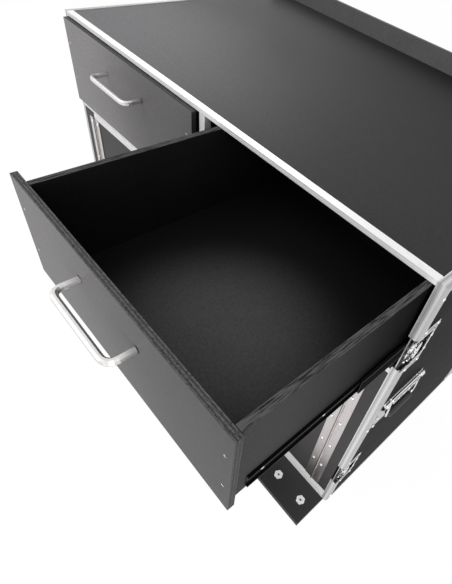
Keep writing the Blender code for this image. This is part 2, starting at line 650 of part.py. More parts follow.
def fork_outline(x, y, crown, axle):
    """A fork leg from the side: wide at the crown and round at the axle."""
    shoulder = crown - FORK_CROWN - FORK_SHEET
    outline = [(-FORK_BACK, crown), (-FORK_BACK, shoulder)]
    outline += arc((TRAIL, axle), FORK_EYE, 200, 380, 8)
    outline += [(FORK_NOSE, shoulder), (FORK_NOSE, crown)]
    return [place(x, y + back, z) for back, z in outline]


def wheel_profile():
    """A wheel's section beside its axle: tread, dished sides and hub, top to bottom outside."""
    half = WHEEL_WIDTH / 2
    face = half - HUB_STEP
    inner, outer, deep = WHEEL_DISH
    upper = [(WHEEL_BORE, face), (WHEEL_HUB, face), (inner, half - deep), (outer, half - deep), (WHEEL_RIM, face)]
    upper += [(WHEEL_RADIUS - down, half - across) for down, across in TREAD_DROP]
    section = upper + [(radius, -across) for radius, across in reversed(upper)]
    bm = bmesh.new()
    verts = [bm.verts.new((radius, 0, across)) for radius, across in section]
    for first, second in zip(verts, verts[1:] + verts[:1]):
        bm.edges.new((first, second))
    return bm


def caster(shop, side, end, y):
    """A swivel caster: a fork with its bearing and axle, and a wheel."""
    name = f"{end}_{word(side)}_caster"
    x = side * CASTER_X
    top = BOARD_BOTTOM - CASTER_PLATE[2] - GAP
    crown = top - SWIVEL_HEIGHT
    axle = FLOOR + WHEEL_RADIUS
    swivel = shop.axis(f"{name}_swivel", place(x, y, top))
    outline = fork_outline(x - FORK_WIDTH / 2, y, crown, axle)
    fork = shop.piece(f"{name}_fork", prism_mesh(outline, Vector((FORK_WIDTH, 0, 0))), shop.zinc,
                      swivel, swivel.location, smooth=35)
    half = FORK_WIDTH / 2 - FORK_SHEET
    slot = box_mesh((x - half, y - CASE_DEPTH, FLOOR), (x + half, y + CASE_DEPTH, crown - FORK_CROWN))
    shop.shape(fork, f"{name}_slot", slot)
    foot = crown - FORK_CROWN / 2
    bearing = rod_mesh((x, y, (top + foot) / 2), (0, 0, 1), SWIVEL_RADIUS, top - foot, ROUND_SIDES)
    shop.shape(fork, f"{name}_bearing", bearing, "UNION")
    pin = rod_mesh((x, y + TRAIL, axle), (1, 0, 0), AXLE_RADIUS, FORK_WIDTH + 2 * AXLE_END, ROD_SIDES)
    shop.shape(fork, f"{name}_axle", pin, "UNION")

    wheel = shop.piece(f"{name}_wheel", wheel_profile(), shop.rubber)
    wheel.parent = swivel
    wheel.location = place(x, y + TRAIL, axle) - swivel.location
    wheel.rotation_euler = (0, math.pi / 2, 0)
    turn = wheel.modifiers.new("turn", "SCREW")
    turn.steps = 32
    turn.render_steps = 32
    turn.use_merge_vertices = True
    turn.merge_threshold = 0.00001


def main():
    clear_scene()
    shop = Workshop()
    carcass(shop)
    front_trims(shop)
    for side, opened in ((1, DRAWER_OPEN), (-1, 0.0)):
        side_frame(shop, side)
        side_panel(shop, side)
        drawer(shop, side, opened)
        door(shop, side)
        side_handle(shop, side)
        for level, middle in LATCHES:
            latch(shop, side, level, middle)
        for end, y in CASTER_YS:
            caster(shop, side, end, y)


main()
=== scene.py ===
"""Finishes, fittings and studio for the coffee bar flight case, laid out as a Blender add-on."""
import json
import math

import bmesh
import bpy
from bpy.props import FloatProperty, FloatVectorProperty, PointerProperty
from mathutils import Matrix, Vector


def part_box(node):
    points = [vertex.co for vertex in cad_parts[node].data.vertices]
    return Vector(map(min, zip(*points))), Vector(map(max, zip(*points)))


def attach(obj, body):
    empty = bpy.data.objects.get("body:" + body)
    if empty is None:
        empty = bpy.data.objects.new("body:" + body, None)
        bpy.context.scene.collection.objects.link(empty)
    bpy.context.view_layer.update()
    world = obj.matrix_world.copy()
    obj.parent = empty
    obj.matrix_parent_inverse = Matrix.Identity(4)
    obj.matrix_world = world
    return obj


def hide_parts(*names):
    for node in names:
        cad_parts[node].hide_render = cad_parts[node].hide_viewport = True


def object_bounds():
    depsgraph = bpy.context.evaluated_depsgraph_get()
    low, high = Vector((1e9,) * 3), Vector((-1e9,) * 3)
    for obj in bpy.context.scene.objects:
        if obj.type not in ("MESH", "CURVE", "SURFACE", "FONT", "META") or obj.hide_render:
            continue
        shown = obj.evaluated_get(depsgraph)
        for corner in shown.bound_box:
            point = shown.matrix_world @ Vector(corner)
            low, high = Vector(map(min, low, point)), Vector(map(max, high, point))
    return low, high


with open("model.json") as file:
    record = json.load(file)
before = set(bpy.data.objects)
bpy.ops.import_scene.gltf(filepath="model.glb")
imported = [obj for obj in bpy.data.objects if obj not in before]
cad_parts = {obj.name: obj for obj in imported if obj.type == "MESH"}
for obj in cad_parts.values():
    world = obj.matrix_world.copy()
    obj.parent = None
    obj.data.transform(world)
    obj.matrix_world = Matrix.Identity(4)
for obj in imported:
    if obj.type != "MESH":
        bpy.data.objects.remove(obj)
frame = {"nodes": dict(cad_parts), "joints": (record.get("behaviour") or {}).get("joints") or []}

bl_info = {
    "name": "Coffee Bar Flight Case",
    "version": (1, 0, 0),
    "blender": (4, 5, 0),
    "location": "View3D > Sidebar > Flight Case",
    "description": "Dresses a wheeled coffee bar flight case with its finishes, fittings and studio",
    "category": "Object",
}

MM = 0.001
CAD_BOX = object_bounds()
HALF_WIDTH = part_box("side_frame_right")[1].x
SIDES = (("right", 1), ("left", -1))
LEVELS = ("upper", "lower")
ENDS = ("front", "rear")

# Camera, solved from the straight edges of the case. It is placed from the worktop trim's front right
# corner, which lies a little in from the case's side.
PHOTO_SIZE = (452, 584)
PHOTO_CENTRE = (298.035, 280.961)
PHOTO_FOCAL = 452.5
CAMERA_TURN = (2.154774, 0.999175, -0.209962)
CAMERA_FROM_CORNER = (136.93 * MM, -514.155 * MM, 451.149 * MM)
CAMERA_CORNER_INSET = 14 * MM
SENSOR_WIDTH = 36.0

# Painted highlights and shade of the edge extrusion's ribs and hollows: the start of each, in from the outer
# face, and its painted brightness
EDGE_LIGHT_BANDS = ((0.0, 0.5), (4.6 * MM, 0.72), (7.2 * MM, 0.98), (8.6 * MM, 0.74), (12.2 * MM, 0.55),
              (14.3 * MM, 0.62), (16.6 * MM, 0.97))

# Where each soft light stands, what it points at and how wide it is, in metres
CASE_MIDDLE = (0.2, 0.0, 0.8)
RIGHT_FOOT = (0.6, -0.3, 0.3)
LIGHTS = {
    "key_light": ((-1.6, -2.2, 3.1), CASE_MIDDLE, 2.6),
    "fill_light": ((2.4, -1.6, 2.6), CASE_MIDDLE, 2.0),
    "sheen_light": ((-1.9, 1.5, 2.3), CASE_MIDDLE, 1.6),
    "low_light": ((1.7, -1.5, 1.0), RIGHT_FOOT, 0.9),
}

# How much of the floor's look is its own white, where it is seen, and how strong that white is
FLOOR_SHARE = 0.88
FLOOR_WHITE = 1.07

# Names of the nodes that share a finish
PANELS = ("worktop", "side_panel_left", "side_panel_right", "back_panel", "divider_panel", "left_door",
          "right_door", "left_hinge_stile", "right_hinge_stile", "rear_cover")
SIDE_PANELS = ("side_panel_left", "side_panel_right")
CUPBOARD_PANELS = ("left_door", "right_door", "left_hinge_stile", "right_hinge_stile")
LONG_TRIMS = ("worktop_trim", "front_rail", "bottom_trim")

# How the light fades over a sheet: how bright the sheet is, how much of that it loses from its front left
# to its rear right corner, and how much brighter it is again close to its front left corner
WORKTOP_FADE = (2.45, 2.15, 4.3)
DRAWER_FADES = {"right": (1.3, 1.8, 0.0), "left": (1.0, 0.0, 1.1)}

# The pool of light on a drawer's floor: its middle, outward and back from the box's middle, and its reach
POOL_OFFSET = (45 * MM, -165 * MM)
POOL_REACH = (230 * MM, 260 * MM)

# The darker and the paler plies along a drawer front's edges, and the stain in the grain of every edge
DRAWER_PLIES = (0.05, 0.15)
PLY_STAIN = (0.006, 0.006, 0.006)

# How fine the draw lines of an extrusion are on each axis, where it runs along the case's width
DRAWN_ALONG_X = (9.0, 1300.0, 1300.0)

# The bolts at a swivel plate's corners, in the order of its rim, and how far its rim lies outside them
PLATE_BOLTS = ((47 * MM, 40 * MM), (-47 * MM, 40 * MM), (-47 * MM, -40 * MM), (47 * MM, -40 * MM))
PLATE_MARGIN = 10.5 * MM

# The side handle's bail: its wire, and its grip with how far that hangs out and down from the pivot
WIRE_RADIUS = 2.6 * MM
GRIP_LENGTH = 82 * MM
GRIP_OUT = 4.5 * MM
GRIP_DROP = 58 * MM

# The drawer box's wall, and how far the rear cover stands up above the body
BOX_WALL = 12 * MM
UPSTAND = 50 * MM

WHITE = (1.0, 1.0, 1.0, 1.0)

# A profile's point that is closer to the axis than this lies on it
ON_AXIS = 1e-7


class Field:
    """A value socket that can stand in arithmetic, which adds the Math nodes."""

    def __init__(self, tree, socket):
        self.tree = tree
        self.socket = socket

    def combine(self, operation, first, second=0.0):
        """The outcome of a Math node."""
        node = self.tree.add("ShaderNodeMath", {"operation": operation}, {0: first, 1: second})
        return Field(self.tree, node.outputs[0])

    def __add__(self, other):
        return self.combine("ADD", self, other)

    __radd__ = __add__

    def __sub__(self, other):
        return self.combine("SUBTRACT", self, other)

    def __rsub__(self, other):
        return self.combine("SUBTRACT", other, self)

    def __mul__(self, other):
        return self.combine("MULTIPLY", self, other)

    __rmul__ = __mul__

    def __abs__(self):
        return self.combine("ABSOLUTE", self)

    def sine(self):
        """The sine of an angle in radians."""
        return self.combine("SINE", self)

    def greatest(self, other):
        """The larger of two values."""
        return self.combine("MAXIMUM", self, other)

    def between(self, low, high):
        """0 at low, 1 at high, and smooth between them."""
        node = self.tree.add("ShaderNodeMapRange", {"interpolation_type": "SMOOTHSTEP"},
                             {"Value": self, "From Min": low, "From Max": high})
        return Field(self.tree, node.outputs["Result"])


class Tree:
    """A node tree whose nodes are all made by one method."""

    def __init__(self, tree):
        self.tree = tree
        self.tree.nodes.clear()

    def add(self, kind, settings=None, sockets=None):
        """Make a node: its settings come first, and then the values or links of its sockets."""
        node = self.tree.nodes.new(kind)
        for name, value in (settings or {}).items():
            setattr(node, name, value)
        for name, value in (sockets or {}).items():
            if isinstance(value, Field):
                self.join(value.socket, node.inputs[name])
            else:
                node.inputs[name].default_value = value
        return node

    def join(self, output, socket):
        """Link an output to a socket."""
        self.tree.links.new(output, socket)

    def read(self, kind, output, settings=None, sockets=None):
        """Make a node and take one of its outputs."""
        return Field(self, self.add(kind, settings, sockets).outputs[output])

    def stretched(self, vector, scale):
        """A vector with each part multiplied by its own number."""
        return self.read("ShaderNodeVectorMath", "Vector", {"operation": "MULTIPLY"}, {0: vector, 1: scale})

    def noise(self, vector, scale, detail=3.0, roughness=0.55):
        """Soft clouds from 0 to 1, finer with a larger scale."""
        return self.read("ShaderNodeTexNoise", "Fac", None,
                         {"Vector": vector, "Scale": scale, "Detail": detail, "Roughness": roughness})

    def cells(self, vector, scale):
        """The distance to the nearest of many scattered points."""
        return self.read("ShaderNodeTexVoronoi", "Distance", None, {"Vector": vector, "Scale": scale})

    def grey(self, value):
        """A vector whose three parts are one value."""
        return self.read("ShaderNodeCombineXYZ", 0, None, {0: value, 1: value, 2: value})

    def seen_rays(self):
        """1 where the camera sees it, straight or in a reflection."""
        path = self.add("ShaderNodeLightPath")
        camera, glossy, through = (Field(self, path.outputs[f"Is {kind} Ray"])
                                   for kind in ("Camera", "Glossy", "Transmission"))
        return camera.greatest(glossy).greatest(through)

    def mix(self, share, first, second):
        """A colour between two colours, which may be links."""
        settings = {"data_type": "RGBA", "blend_type": "MIX"}
        sockets = {0: share, 6: whole(first), 7: whole(second)}
        return self.read("ShaderNodeMix", 2, settings, sockets)


class Finish(Tree):
    """A material with a Principled shader, in the object's own coordinates."""

    def __init__(self, name, **constants):
        self.material = bpy.data.materials.new(name)
        self.material.use_nodes = True
        super().__init__(self.material.node_tree)
        self.output = self.add("ShaderNodeOutputMaterial")
        sockets = {title.replace("_", " "): value for title, value in constants.items()}
        self.shader = self.add("ShaderNodeBsdfPrincipled", None, sockets)
        self.join(self.shader.outputs[0], self.output.inputs[0])
        place = self.add("ShaderNodeTexCoord")
        self.place = Field(self, place.outputs["Object"])
        self.facing = Field(self, place.outputs["Normal"])

    def parts(self, vector):
        """The three parts of a vector."""
        node = self.add("ShaderNodeSeparateXYZ", None, {0: vector})
        return [Field(self, socket) for socket in node.outputs]

    def grain(self, stretch, detail=4.0, roughness=0.7):
        """Noise drawn out along the axes that the stretch leaves small."""
        return self.noise(self.stretched(self.place, stretch), 1.0, detail, roughness)

    def speckled(self, colour):
        """The colour with the fine speckle of a textured sheet."""
        return self.stretched(colour, self.grey(self.noise(self.place, 260.0, 3.0) * 0.7 + 0.65))

    def feed(self, **values):
        """Link values to the shader's sockets, which are named with _ for a space."""
        for title, value in values.items():
            self.join(value.socket, self.shader.inputs[title.replace("_", " ")])

    def raise_surface(self, height, distance, strength):
        """Bump the surface by a height, which counts as the distance where it is 1."""
        self.feed(Normal=self.read("ShaderNodeBump", "Normal", None,
                                   {"Height": height, "Distance": distance, "Strength": strength}))


def whole(colour):
    """A colour with its alpha, unless it is a link."""
    return colour if isinstance(colour, Field) else (*colour, 1.0)


def shade(colour, factor):
    """A colour made darker or brighter."""
    return tuple(part * factor for part in colour)


def mm(*points):
    """Points given in millimetres, as tuples in metres."""
    return [tuple(part * MM for part in point) for point in points]


def thin_axis(name):
    """The axis across a panel, its place there and its thickness."""
    low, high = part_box(name)
    size = high - low
    axis = min(range(3), key=lambda index: size[index])
    return axis, low[axis], size[axis]


def laminate(name, colour, across=None, roughness=0.5, plies=7, sheen=0.16, ply_tones=(0.012, 0.05),
             fade=None):
    """Fine-textured laminate on plywood; across gives the axis, place and thickness of the sheet."""
    finish = Finish(name, Specular_IOR_Level=sheen)
    cloud = finish.noise(finish.place, 5.0, 4.0)
    pebble = finish.noise(finish.place, 1500.0, 2.0)
    rub = finish.grain((30.0, 210.0, 90.0), 3.0, 0.55).between(0.66, 0.76)
    base = finish.mix(cloud, shade(colour, 0.86), shade(colour, 1.16))
    base = finish.mix(rub * 0.22, base, shade(colour, 2.2))
    if fade:
        base = faded(finish, base, name, fade)
    base = finish.speckled(base)
    rough = cloud * 0.14 + (roughness - 0.06) + rub * 0.06
    height = pebble * 0.5
    if across:
        axis, start, thick = across
        facing = finish.parts(finish.facing)
        edge = 1.0 - abs(facing[axis]).between(0.3, 0.7)
        layer, streak = ply_layers(finish, axis, start, thick, plies)
        dark, light = ply_tones
        ply = finish.mix(layer, (dark, dark, dark), (light, light, light * 1.02))
        ply = finish.mix(streak * 0.75, ply, PLY_STAIN)
        if axis:
            ply = finish.mix(abs(facing[0]) * 0.6, ply, PLY_STAIN)
        base = finish.mix(edge, base, ply)
        rough = rough + edge * 0.12
        height = height + edge * (layer * 0.5 + streak * 0.8)
    finish.feed(Base_Color=base, Roughness=rough)
    finish.raise_surface(height, 0.16 * MM, 0.7)
    return finish.material


def faded(finish, base, name, fade):
    """The colour with the light's fade over a sheet."""
    level, loss, gain = fade
    low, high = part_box(name)
    x, y, _ = finish.parts(finish.place)
    away = x.between(low.x, high.x) * 0.5 + y.between(low.y, high.y) * 0.5
    corner = (1.0 - away * 2.2).between(0.0, 1.0)
    return finish.stretched(base, finish.grey(level - away * loss + corner * gain))


def ply_layers(finish, axis, start, thick, plies):
    """Plywood seen from its edge: the layers, and the streaks of their grain."""
    along = finish.parts(finish.place)[axis]
    wander = finish.noise(finish.place, 60.0, 2.0) * 0.5
    layer = ((along - start) * (math.pi * plies / thick) + wander).sine() * 0.5 + 0.5
    stretch = [240.0, 240.0, 240.0]
    stretch[axis] = 900.0
    return layer, finish.grain(stretch).between(0.48, 0.58)


def box_ply(name, side):
    """The drawer box: painted shade on its faces, a painted pool of light on its floor, and streaky plies
    along its walls' tops.
    """
    finish = Finish(name, Specular_IOR_Level=0.007)
    _, y, z = finish.parts(finish.place)
    low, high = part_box(name)
    up = finish.parts(finish.facing)[2].between(0.4, 0.8)
    top = up * z.between(high.z - 4 * MM, high.z - 2 * MM)
    behind = y.between(high.y - BOX_WALL - 1 * MM, high.y - BOX_WALL)
    grain = (finish.grain((600.0, 30.0, 200.0)) * (1.0 - behind)
             + finish.grain((30.0, 600.0, 200.0)) * behind).between(0.42, 0.64)
    cloud = finish.noise(finish.place, 7.0, 4.0)
    faces = box_faces(finish, cloud, side, low, high)
    plies = finish.mix(grain, (0.13, 0.13, 0.133), (0.02, 0.02, 0.02))
    inside = finish.mix(up * (1.0 - top), faces, box_floor(finish, cloud, side, (low + high) / 2))
    base = finish.mix(top, finish.speckled(inside), plies)
    finish.feed(Base_Color=base, Roughness=cloud * 0.12 + 0.5 + top * 0.08)
    finish.raise_surface(grain * top + finish.noise(finish.place, 1300.0, 2.0) * 0.3, 0.18 * MM, 0.6)
    return finish.material


def box_faces(finish, cloud, side, low, high):
    """The box's walls: painted shade makes them nearly black inside, and on the outer side painted light in
    front of the case fades to painted shade further back.
    """
    x, y, _ = finish.parts(finish.place)
    # Painted shade inside the box: its inner faces are drawn nearly black.
    inner = finish.mix(cloud, (0.009, 0.009, 0.0094), (0.015, 0.015, 0.0155))
    outside = max(high.x * side, low.x * side)
    outward = (finish.parts(finish.facing)[0] * side).between(0.4, 0.8)
    outer = outward * (x * side).between(outside - 4 * MM, outside - 2 * MM)
    # Painted shade: the outer side darkens to near black as it runs back into the case.
    shade_behind = y.between(low.y + 40 * MM, low.y + 330 * MM)
    return finish.mix(outer, inner, finish.mix(shade_behind, (0.06, 0.059, 0.0595), (0.003, 0.003, 0.003)))


def box_floor(finish, cloud, side, middle):
    """The box's floor, with its pool of light."""
    x, y, _ = finish.parts(finish.place)
    outward = (x - middle.x - side * POOL_OFFSET[0]) * (1 / POOL_REACH[0])
    back = (y - middle.y - POOL_OFFSET[1]) * (1 / POOL_REACH[1])
    centre = 1.0 - (outward * outward + back * back).between(0.0, 1.6)
    tone = finish.mix(1.0 - centre * centre, (0.119, 0.119, 0.122), (0.016, 0.016, 0.0165))
    return finish.mix(cloud, finish.stretched(tone, (0.86, 0.86, 0.86)), tone)


def brushed(name, colour, lengthwise, roughness=0.3, wear=0.25, metallic=1.0, bands=None, crown=None):
    """Metal with fine draw lines along the axes that lengthwise leaves small.

    Its bands are painted light and shade in stripes: how far in from the outer face each of them starts,
    and how bright it is drawn; they paint the edge extrusion's highlights and shade of its ribs and hollows,
    and the hinge's shadow line along its knuckle. Its crown is how metallic its upward faces are.
    """
    finish = Finish(name, Metallic=metallic)
    lines = finish.grain(lengthwise, 3.0, 0.6)
    cloud = finish.noise(finish.place, 22.0, 4.0)
    smudge = finish.noise(finish.place, 55.0, 3.0).between(0.55, 0.72)
    base = finish.mix(lines, shade(colour, 0.9), shade(colour, 1.06))
    # Painted light and shade: each band sets how bright the metal is drawn across its section.
    if bands:
        inward = HALF_WIDTH - abs(finish.parts(finish.place)[0])
        level = bands[0][1]
        for start, tone in bands[1:]:
            step = inward.between(start - 0.35 * MM, start + 0.35 * MM)
            level = step * tone + (1.0 - step) * level
        base = finish.stretched(base, finish.grey(level))
    base = finish.mix(smudge * wear, base, shade(colour, 0.72))
    finish.feed(Base_Color=base, Roughness=lines * 0.1 + cloud * 0.12 + (roughness - 0.1) + smudge * 0.08)
    if crown:
        up = finish.parts(finish.facing)[2].between(0.4, 0.8)
        finish.feed(Metallic=up * crown + (1.0 - up) * metallic)
    finish.raise_surface(lines, 0.02 * MM, 0.8)
    return finish.material


def zinc(name, colour, roughness=0.22, metallic=1.0):
    """Bright plated pressings, a little mottled, with dull spots where they were handled."""
    finish = Finish(name, Metallic=metallic)
    mottle = finish.cells(finish.place, 420.0)
    cloud = finish.noise(finish.place, 60.0, 4.0)
    dull = cloud.between(0.52, 0.68)
    base = finish.mix(mottle, shade(colour, 0.94), shade(colour, 1.04))
    base = finish.mix(dull * 0.3, base, shade(colour, 0.7))
    finish.feed(Base_Color=base, Roughness=mottle * 0.08 + (roughness - 0.04) + dull * 0.14)
    finish.raise_surface(cloud, 0.1 * MM, 0.5)
    return finish.material


def coated(name, colour, roughness=0.38, sheen=0.5):
    """Black coated steel or moulded plastic, with a fine uneven skin."""
    finish = Finish(name, Specular_IOR_Level=sheen)
    cloud = finish.noise(finish.place, 40.0, 4.0)
    skin = finish.noise(finish.place, 900.0, 2.0)
    base = finish.mix(cloud, shade(colour, 0.8), shade(colour, 1.3))
    finish.feed(Base_Color=base, Roughness=cloud * 0.16 + (roughness - 0.08))
    finish.raise_surface(skin, 0.08 * MM, 0.6)
    return finish.material


def channel_with_pale_bends(name, colour):
    """A blackened channel, paler along its upper and lower bends where they face sideways."""
    finish = Finish(name, Specular_IOR_Level=0.0)
    low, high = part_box(name)
    height = finish.parts(finish.place)[2]
    bend = height.between(high.z - 3.2 * MM, high.z - 2.2 * MM).greatest(
        1.0 - height.between(low.z + 2.2 * MM, low.z + 3.2 * MM))
    side_on = abs(finish.parts(finish.facing)[0]).between(0.5, 0.9)
    draw = finish.grain((900.0, 14.0, 900.0), 3.0, 0.55)
    base = finish.mix(draw, shade(colour, 0.8), shade(colour, 1.2))
    base = finish.mix(bend * side_on * 0.6, base, (0.16, 0.16, 0.162))
    finish.feed(Base_Color=base, Roughness=draw * 0.12 + 0.3)
    finish.raise_surface(draw, 0.02 * MM, 0.6)
    return finish.material


def rubber(name, colour, roughness=0.6):
    """Rubber with a dusty bloom."""
    finish = Finish(name, Specular_IOR_Level=0.4)
    dust = finish.noise(finish.place, 80.0, 5.0, 0.65).between(0.45, 0.75)
    skin = finish.noise(finish.place, 700.0, 3.0)
    base = finish.mix(dust, colour, shade(colour, 1.9))
    finish.feed(Base_Color=base, Roughness=dust * 0.2 + (roughness - 0.05))
    finish.raise_surface(skin, 0.1 * MM, 0.7)
    return finish.material


class CaseFinishes(bpy.types.PropertyGroup):
    """Colours of the case's materials."""
    laminate: FloatVectorProperty(name="Laminate", description="Black laminate of the body", subtype="COLOR",
                                  default=(0.03, 0.03, 0.031), min=0.0, max=1.0)
    # Painted light: the cupboards' laminate is a lighter copy of the body's black laminate.
    cupboard: FloatVectorProperty(name="Cupboards", description="Laminate of the doors and hinge stiles",
                                  subtype="COLOR", default=(0.044, 0.0415, 0.042), min=0.0, max=1.0)
    # Painted light: the drawer fronts' laminate is a lighter copy of the body's black laminate.
    drawer: FloatVectorProperty(name="Drawer fronts", description="Laminate of the drawer fronts",
                                subtype="COLOR", default=(0.125, 0.12, 0.1225), min=0.0, max=1.0)
    board: FloatVectorProperty(name="Base board", description="Stain of the base board", subtype="COLOR",
                               default=(0.02, 0.0198, 0.0195), min=0.0, max=1.0)
    # Painted light: the rear cover's laminate is a lighter copy of the body's black laminate.
    cover: FloatVectorProperty(name="Rear cover", description="Laminate of the rear cover", subtype="COLOR",
                               default=(0.13, 0.13, 0.132), min=0.0, max=1.0)
    aluminium: FloatVectorProperty(name="Aluminium", description="Edge extrusions", subtype="COLOR",
                                   default=(0.9, 0.9, 0.905), min=0.0, max=1.0)
    zinc: FloatVectorProperty(name="Plated steel", description="Latches, handles and casters",
                              subtype="COLOR", default=(0.74, 0.74, 0.75), min=0.0, max=1.0)
    handle: FloatVectorProperty(name="Bow handles", description="Brushed steel of the bow handles",
                                subtype="COLOR", default=(0.74, 0.73, 0.72), min=0.0, max=1.0)
    hinge: FloatVectorProperty(name="Hinges", description="Rolled steel of the piano hinges", subtype="COLOR",
                               default=(0.64, 0.6, 0.595), min=0.0, max=1.0)
    slide: FloatVectorProperty(name="Slides", description="Black plate of the ball slides", subtype="COLOR",
                               default=(0.005, 0.005, 0.0055), min=0.0, max=1.0)
    channel: FloatVectorProperty(name="Middle slides", description="Steel of the slides' middle members",
                                 subtype="COLOR", default=(0.014, 0.014, 0.0145), min=0.0, max=1.0)
    wheel: FloatVectorProperty(name="Wheels", description="Grey tread of the wheels", subtype="COLOR",
                               default=(0.045, 0.046, 0.05), min=0.0, max=1.0)


class CaseFittings(bpy.types.PropertyGroup):
    """Sizes of the small fittings."""
    rivet: FloatProperty(name="Rivet radius", description="Radius of a rivet's head", subtype="DISTANCE",
                         default=4.0 * MM, min=1.0 * MM)
    screw: FloatProperty(name="Screw radius", description="Radius of a countersunk screw", subtype="DISTANCE",
                         default=2.6 * MM, min=1.0 * MM)
    nut: FloatProperty(name="T-nut radius", description="Radius of a T-nut's flange", subtype="DISTANCE",
                       default=13.0 * MM, min=6.0 * MM)
    hinge_pitch: FloatProperty(name="Hinge rivet spacing", description="Distance between hinge rivets",
                               subtype="DISTANCE", default=119.0 * MM, min=10.0 * MM)


class CaseStudio(bpy.types.PropertyGroup):
    """Light and floor."""
    floor: FloatVectorProperty(name="Floor", description="Colour of the floor", subtype="COLOR",
                               default=(0.9, 0.9, 0.9), min=0.0, max=1.0)
    surround: FloatProperty(name="Surround", description="Light from all round", default=0.42, min=0.0)
    key: FloatProperty(name="Key light", description="Power of the large soft light", unit="POWER",
                       default=40.0, min=0.0)
    fill: FloatProperty(name="Fill light", description="Power of the second soft light", unit="POWER",
                        default=12.0, min=0.0)
    sheen: FloatProperty(name="Sheen light", description="Power of the soft light behind", unit="POWER",
                         default=9.0, min=0.0)
    low: FloatProperty(name="Low light", description="Power of the soft light on the base", unit="POWER",
                       default=14.0, min=0.0)


def lathe(bm, profile, centre, axis, steps=16):
    """Turn a profile of (radius, height) about an axis; it starts and ends on the axis."""
    turn = Vector((0, 0, 1)).rotation_difference(Vector(axis)).to_matrix()
    rings = []
    for radius, height in profile:
        if radius < ON_AXIS:
            rings.append([bm.verts.new(centre + turn @ Vector((0, 0, height)))])
            continue
        ring = []
        for step in range(steps):
            angle = math.tau * step / steps
            spot = Vector((radius * math.cos(angle), radius * math.sin(angle), height))
            ring.append(bm.verts.new(centre + turn @ spot))
        rings.append(ring)
    for first, second in zip(rings, rings[1:]):
        for step in range(steps):
            after = (step + 1) % steps
            if len(first) == 1:
                bm.faces.new((first[0], second[step], second[after]))
            elif len(second) == 1:
                bm.faces.new((first[step], second[0], first[after]))
            else:
                bm.faces.new((first[step], second[step], second[after], first[after]))


def sweep(bm, path, radius, sides=10):
    """A round tube along a path of places."""
    path = [Vector(spot) for spot in path]
    rings = []
    lean = None
    for index, spot in enumerate(path):
        ahead = (path[min(index + 1, len(path) - 1)] - path[max(index - 1, 0)]).normalized()
        if lean is None:
            lean = ahead.orthogonal().normalized()
        lean = (lean - ahead * lean.dot(ahead)).normalized()
        other = ahead.cross(lean)
        rings.append([bm.verts.new(spot + (lean * math.cos(turn) + other * math.sin(turn)) * radius)
                      for turn in (math.tau * step / sides for step in range(sides))])
    for first, second in zip(rings, rings[1:]):
        for step in range(sides):
            after = (step + 1) % sides
            bm.faces.new((first[step], first[after], second[after], second[step]))
    bm.faces.new(list(reversed(rings[0])))
    bm.faces.new(rings[-1])


def slab(bm, outline, lift):
    """A flat outline of places, thickened by a vector."""
    face = bm.faces.new([bm.verts.new(spot) for spot in outline])
    made = bmesh.ops.extrude_face_region(bm, geom=[face])
    far = [item for item in made["geom"] if isinstance(item, bmesh.types.BMVert)]
    bmesh.ops.translate(bm, vec=lift, verts=far)


def dome(radius, height):
    """A pop rivet's head: a low dome with the mandrel's dimple in its middle."""
    foot = -0.2 * MM
    turns = [step * math.pi / 10 for step in range(5)]
    rise = [(radius * math.cos(turn), height * (0.25 + 0.75 * math.sin(turn))) for turn in turns]
    dimple = [(radius * 0.24, height * 0.96), (radius * 0.2, height * 0.62), (0.0, height * 0.6)]
    return [(0.0, foot), (radius, foot)] + rise + dimple


def screw_head(radius):
    """A countersunk head, flush, with a drive recess."""
    return [(0.0, -0.3 * MM), (radius, -0.3 * MM), (radius, 0.12 * MM), (radius * 0.9, 0.25 * MM),
            (radius * 0.5, 0.25 * MM), (radius * 0.38, -0.2 * MM), (0.0, -0.25 * MM)]


def rivets(bm, places, axis, radius, height=1.5 * MM):
    """A domed head at each place."""
    for spot in places:
        lathe(bm, dome(radius, height), Vector(spot), axis)


def piece(name, bm, material, body, smooth=35, bevel=None):
    """Make a piece of a mesh given in the case's frame, and let it ride on a body."""
    bmesh.ops.recalc_face_normals(bm, faces=bm.faces)
    mesh = bpy.data.meshes.new(name)
    bm.to_mesh(mesh)
    bm.free()
    mesh.materials.append(material)
    mesh.shade_smooth()
    mesh.set_sharp_from_angle(angle=math.radians(smooth))
    obj = bpy.data.objects.new(name, mesh)
    bpy.context.scene.collection.objects.link(obj)
    if bevel:
        modifier = obj.modifiers.new("edges", "BEVEL")
        modifier.width = bevel
        modifier.segments = 2
        modifier.limit_method = "ANGLE"
    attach(obj, body)
    return obj


def dress(name, material):
    """Give a node of the case its finish."""
    mesh = frame["nodes"][name].data
    mesh.materials.clear()
    mesh.materials.append(material)


def settings():
    """The colours, the fittings' sizes and the studio's settings."""
    scene = bpy.context.scene
    return scene.case_finishes, scene.case_fittings, scene.case_studio


